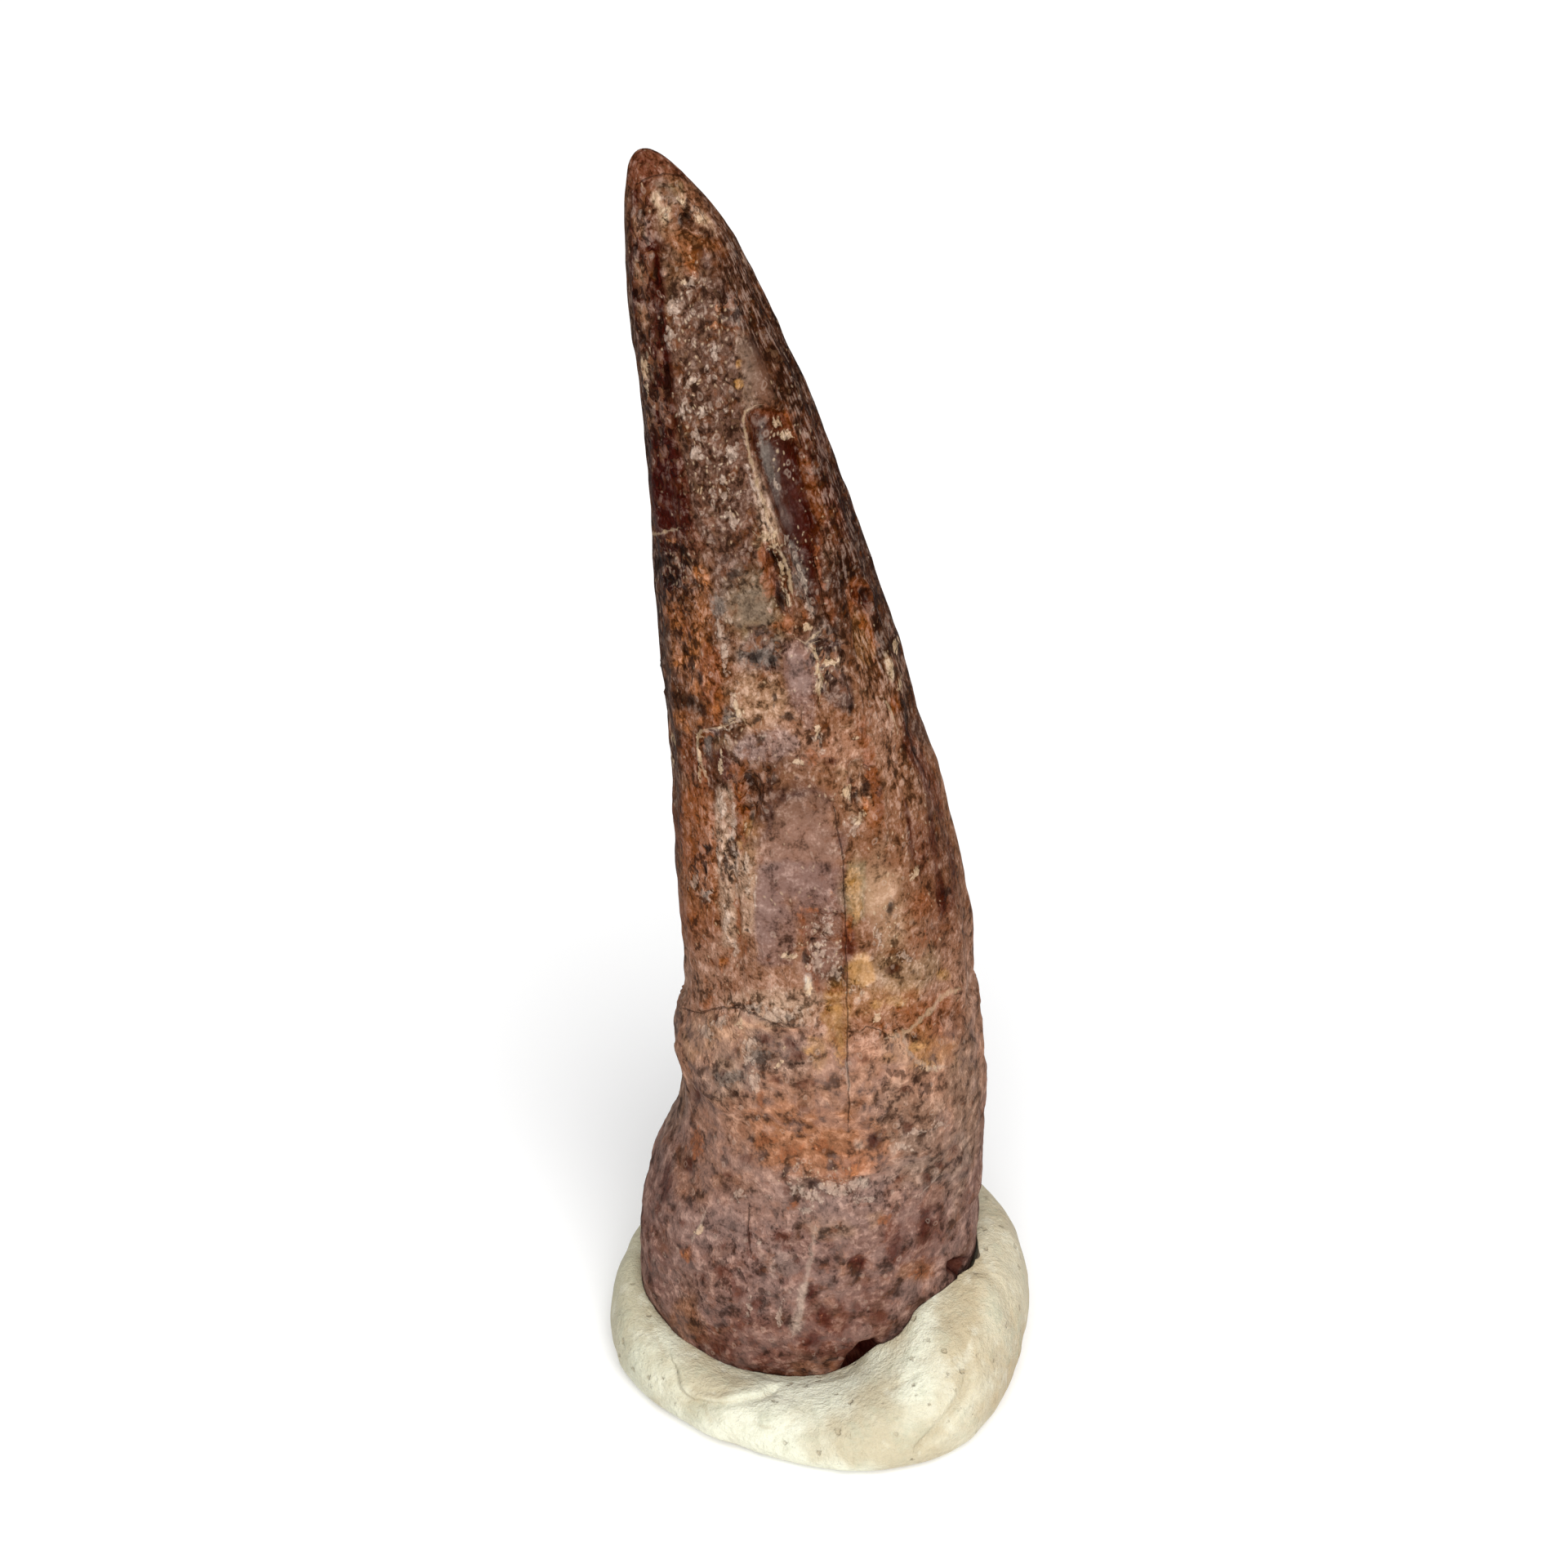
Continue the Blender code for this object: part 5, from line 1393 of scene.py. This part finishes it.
def splineWeights(share):
    # uniform cubic B-spline weights of four neighbouring controls
    return np.stack([(1 - share)**3, 3 * share**3 - 6 * share**2 + 4,
                     -3 * share**3 + 3 * share**2 + 3 * share + 1, share**3]) / 6.0


def rootReach(directions, heights):
    # how far out along each direction the tooth's section reaches, from the origin
    middle, halfWidth, halfDepth = section(heights)
    dx, dy = np.cos(directions) / halfWidth, np.sin(directions) / halfDepth
    ox, oy = -middle / halfWidth, -tooth["setback"] / halfDepth
    a, b, c = dx**2 + dy**2, ox * dx + oy * dy, ox**2 + oy**2 - 1.0
    return (-b + np.sqrt(b * b - a * c)) / a


def puttyCage():
    count = len(putty["ring"])
    directions = np.radians(np.arange(count) * 360.0 / count)
    outer, crest, contact = np.array(putty["ring"]).T
    root = rootReach(directions, contact)
    wall = outer - root
    reachShare, riseShare = putty["shoulder"]
    reach = np.stack([0.0 * outer, outer - putty["flatInset"] * putty["flatSpread"],
                      outer - putty["flatInset"], outer - putty["footInset"], outer,
                      root + wall * reachShare, root + wall * putty["crestShare"],
                      root - putty["contactInset"],
                      root - putty["contactInset"] * putty["contactSpread"]])
    rise = np.stack([0 * crest, 0 * crest, 0 * crest, 0 * crest, crest * putty["sideShare"],
                     crest * riseShare, crest, contact, contact - putty["contactDrop"]])
    return directions, np.stack([reach * np.cos(directions), reach * np.sin(directions), rise], axis=-1)


def splineSheet(cage, rows, columns):
    # a smooth sheet over the cage, closed round its columns
    acrossAt = np.linspace(0.0, cage.shape[1], columns, endpoint=False)
    whole = np.floor(acrossAt).astype(int)
    weights = splineWeights(acrossAt - whole)
    ringed = sum(weights[k][None, :, None] * cage[:, (whole - 1 + k) % cage.shape[1]] for k in range(4))
    upAt = np.interp(np.linspace(0.0, 1.0, rows), [0.0, 0.10, 1.0], [0.0, 1.5, len(cage) - 3.001])
    base = np.floor(upAt).astype(int)
    weights = splineWeights(upAt - base)
    return upAt, sum(weights[k][:, None, None] * ringed[base + k] for k in range(4))


def reliefAt(relieved, turns, heights):
    # the tooth's relief at any turn and height, read between its vertices
    columnTurns, rowHeights, rise = relieved
    order = np.argsort(columnTurns)
    ordered = columnTurns[order]
    column = np.interp(turns % 360.0, np.append(ordered, ordered[0] + 360.0), np.arange(len(order) + 1))
    row = np.interp(heights, rowHeights, np.arange(len(rowHeights)))
    c0, r0 = np.floor(column).astype(int), np.clip(np.floor(row).astype(int), 0, len(rowHeights) - 2)
    cs, rs = column - c0, row - r0
    table = rise[:, order]
    wide = len(order)
    return ((table[r0, c0 % wide] * (1 - cs) + table[r0, (c0 + 1) % wide] * cs) * (1 - rs)
            + (table[r0 + 1, c0 % wide] * (1 - cs) + table[r0 + 1, (c0 + 1) % wide] * cs) * rs)


def wallReach(relieved, directions, heights):
    # the tooth's true surface plus a little clearance, and the open gaps beside it
    reach = rootReach(directions, heights)
    middle, halfWidth, halfDepth = section(heights)
    turns = np.degrees(np.arctan2((reach * np.sin(directions) - tooth["setback"]) / halfDepth,
                                  (reach * np.cos(directions) - middle) / halfWidth))
    proud = reliefAt(relieved, turns, heights)
    gap = 0.0
    for turn, spread, width, low, high in putty["gaps"]:
        aside = wrapTurn(np.degrees(directions) - turn)
        gap = gap + width * np.exp(-(aside / spread)**2) * smoothStep(low, high, heights)
    return reach + np.maximum(proud, -putty["deepest"]) + putty["clearance"] + gap


def makePutty(material, relieved):
    directions, cage = puttyCage()
    upAt, sheet = splineSheet(cage, putty["rows"], putty["columns"])
    towards = np.arctan2(sheet[..., 1], sheet[..., 0])
    reach = np.hypot(sheet[..., 0], sheet[..., 1])

    # soft lumps, dimples, swells and creases, all on the open surface only
    openShare = smoothStep(*putty["openSurface"], sheet[..., 2])
    ringReach, ringHeight = putty["hollow"]
    hollowRing = np.stack([np.cos(towards) * ringReach, np.sin(towards) * ringReach,
                           0.0 * towards + ringHeight], axis=-1)
    push = sheet - hollowRing
    push /= np.maximum(np.linalg.norm(push, axis=-1, keepdims=True), 0.5)
    seen = pixelOf(sheet)
    facing = smoothStep(*putty["facing"], (push * -forward).sum(axis=-1))
    swell = cloudOf("puttyLumps", sheet) + cloudOf("puttyDimples", sheet)
    creased = np.zeros(reach.shape)
    flatSeen = seen.reshape(-1, 2)
    wander = cloudOf("creaseEdge", sheet).reshape(-1)
    for depth, halfWidth, lip, path in creases:
        away, side = pathDistance(flatSeen, np.array(path, float), False)
        signed = away * side + wander
        dip = np.exp(-(np.hypot(signed, np.maximum(away - halfWidth, 0.0)) / halfWidth)**2)
        dip = dip.reshape(reach.shape) * facing
        creased = np.maximum(creased, dip)
        step = np.exp(-away / putty["lipFade"]) * (smoothStep(-halfWidth, halfWidth, -signed) - 0.5)
        swell += lip * step.reshape(reach.shape) * facing - depth * dip
    for height, size, x, y in puttySwells:
        swell += height * np.exp(-((seen[..., 0] - x)**2 + (seen[..., 1] - y)**2) / size**2) * facing
    sheet = sheet + push * (swell * openShare)[..., None]
    sheet[..., 2] = np.maximum(sheet[..., 2], 0.0)

    # where the sheet meets the tooth it turns down along the root to the socket's floor
    towards = np.arctan2(sheet[..., 1], sheet[..., 0])
    reach = np.hypot(sheet[..., 0], sheet[..., 1])
    pastCrest = upAt[:, None] > putty["crestRow"]
    least = wallReach(relieved, towards, np.clip(sheet[..., 2], *putty["socketSpan"]))
    least = np.where(pastCrest, least, 0.0)
    held = np.maximum(reach, least)
    touching = smoothStep(putty["touch"], 0.0, reach - least) * pastCrest
    sheet[..., 0] = held * np.cos(towards)
    sheet[..., 1] = held * np.sin(towards)
    lastRow = sheet[-1]
    lastTowards = towards[-1]
    walls = []
    for share in np.linspace(0.0, 1.0, putty["wallRows"] + 1)[1:]:
        height = lastRow[:, 2] + (putty["socketFloor"] - lastRow[:, 2]) * share
        wall = wallReach(relieved, lastTowards, np.clip(height, *putty["socketSpan"]))
        wall = wall + putty["clearance"]
        ring = [wall * np.cos(lastTowards), wall * np.sin(lastTowards), height]
        walls.append(np.stack(ring, axis=-1))
    grid = np.concatenate([sheet, np.array(walls)])
    floorCentre = [grid[-1, :, 0].mean(), grid[-1, :, 1].mean(), putty["socketFloor"]]
    points, faces = cappedMesh(grid, [np.zeros(3), np.array(floorCentre)])
    fields = np.stack([creased, touching, openShare, facing], axis=-1)
    deep = np.tile(np.array([0.0, 1.0, 1.0, 0.0]), (putty["wallRows"], putty["columns"], 1))
    layers = {"pressed": withCaps(np.concatenate([fields, deep]))}
    piece = makePiece("putty_lump", points, faces, material, layers)
    print("putty made:", len(points), "vertices")
    return piece


def puttyFinish():
    f = Finish("creamPutty")
    place = f.place()
    _, (creased, touching, _, _) = f.field("pressed")
    broad = f.noise(f.warped(place, 0.2, 1.5), 0.17, 3.0, 0.5)
    blotch = f.noise(f.warped(place, 0.6, 0.8), 0.50, 4.0, 0.62)
    pore = f.noise(place, 2.6, 3.0, 0.62)
    fine = f.noise(place, 8.0, 2.0, 0.5)
    sideways = f.axis(place, 0)
    # the left side is mixed greyer and greener: painted shade where that side turns from the light
    leftShade = 1.0 - sideways.step(-16.0, -7.0)
    colour = f.mix((broad + leftShade * 0.12).step(0.42, 0.64), "puttyCream", "puttyShade")
    colour = f.mix(leftShade * 0.35, colour, "puttyGreen")
    # the right side, and most of all the part behind the tooth on the right, is mixed towards tan:
    # partly a warmer tone and partly painted shade
    colour = f.mix(sideways.step(6.0, 15.0) * (0.38 + broad * 0.3), colour, "puttyTanAndShade")
    shadedBehind = f.axis(place, 1).step(-4.0, 8.0)
    colour = f.mix(shadedBehind * sideways.step(4.0, 12.0) * 0.30, colour, "puttyTanAndShade")
    colour = f.mix(blotch.step(0.50, 0.68) * 0.50, colour, "puttyGreen")
    colour = f.mix((1.0 - blotch).step(0.54, 0.70) * 0.40, colour, "puttyLight")
    colour = f.brightened(colour, 1.0 + (pore - 0.5) * 0.30 + (fine - 0.5) * 0.16)

    # small dark pores and specks of dirt; the creases are darkened with painted shade, and the rim
    # beside the tooth partly with a stain and partly with painted shade
    speckGap, _, speckChance, _ = f.grains(f.warped(place, 1.5, 0.5), 0.85)
    speck = (1.0 - (speckGap + (pore - 0.5) * 0.5).step(0.10, 0.24)) * speckChance.step(0.62, 0.70)
    colour = f.mix(speck * 0.42, colour, "puttyDirtAndShade")
    colour = f.mix(creased.step(0.50, 1.0) * pore.step(0.35, 0.60) * 0.30, colour, "puttyDirtAndShade")
    stainAndContactShade = (blotch + (pore - 0.5) * 0.6).step(0.30, 0.62)
    colour = f.mix(touching * 0.50 * stainAndContactShade, colour, "puttyDirtAndShade")
    f.feed(f.shader.inputs["Base Color"], colour)
    f.feed(f.shader.inputs["Roughness"], 0.66 + (blotch - 0.5) * 0.3)
    height = pore * 1.0 + fine * 0.35 + blotch * 1.6 - speck * 0.8
    bump = f.node("ShaderNodeBump", {}, {"Strength": 0.8, "Distance": 0.00020, "Height": height})
    f.feed(f.shader.inputs["Normal"], bump)
    f.shader.inputs["Subsurface Weight"].default_value = 0.08
    f.shader.inputs["Subsurface Radius"].default_value = (1.0, 0.8, 0.5)
    f.shader.inputs["Subsurface Scale"].default_value = 0.0010
    f.shader.inputs["Specular IOR Level"].default_value = 0.25
    return f.material


toothPiece, toothRelief = makeTooth(enamelFinish())
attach(toothPiece, "root")
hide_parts("tooth")

puttyPiece = makePutty(puttyFinish(), toothRelief)
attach(puttyPiece, "root")
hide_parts("putty_base")

studio = {
    "floorSize": 12.0, "floorDrop": 0.0002, "floorShade": (0.95, 0.95, 0.945, 1.0),
    "floorRough": 0.8, "floorPatches": 0.004, "skyStrength": 0.28, "aim": (0.0, 0.0, 0.05),
    "keyPlace": (0.24, -1.75, 1.75), "keySize": 2.6, "keyWatts": 104.0,
    "fillPlace": (0.1, -0.9, 0.4), "fillSize": 0.6, "fillWatts": 1.0,
    "backPlace": (-0.3, 1.8, 1.2), "backSize": 2.4, "backWatts": 9.0,
}


def floorFinish():
    f = Finish("paleFloor")
    soft = f.noise(f.place(), studio["floorPatches"], 1.0, 0.5).step(0.3, 0.7)
    f.feed(f.shader.inputs["Base Color"], f.mix(soft, "paleFloor", studio["floorShade"]))
    f.shader.inputs["Roughness"].default_value = studio["floorRough"]
    return f.material


def makeFloor():
    half = studio["floorSize"] / 2
    corners = np.array([(-half, -half, 0), (half, -half, 0), (half, half, 0), (-half, half, 0)]) / metre
    floor = makePiece("floor", corners, [(0, 1, 2, 3)], floorFinish(), {})
    floor.location.z = -studio["floorDrop"]


def makeLight(name, place, size, watts):
    data = bpy.data.lights.new(name, "AREA")
    data.shape = "SQUARE"
    data.size = size
    data.energy = watts
    light = bpy.data.objects.new(name, data)
    bpy.context.scene.collection.objects.link(light)
    light.location = place
    towards = Vector(studio["aim"]) - Vector(place)
    light.rotation_euler = towards.to_track_quat("-Z", "Y").to_euler()


def makeStudio():
    world = bpy.data.worlds.new("studioSky")
    world.use_nodes = True
    sky = world.node_tree.nodes["Background"]
    sky.inputs["Color"].default_value = (1.0, 1.0, 1.0, 1.0)
    sky.inputs["Strength"].default_value = studio["skyStrength"]
    bpy.context.scene.world = world
    bpy.context.scene.view_settings.view_transform = "Standard"
    makeFloor()
    for name in ("key", "fill", "back"):
        makeLight(name + "Light", studio[name + "Place"], studio[name + "Size"], studio[name + "Watts"])
    print("studio lit")


makeStudio()
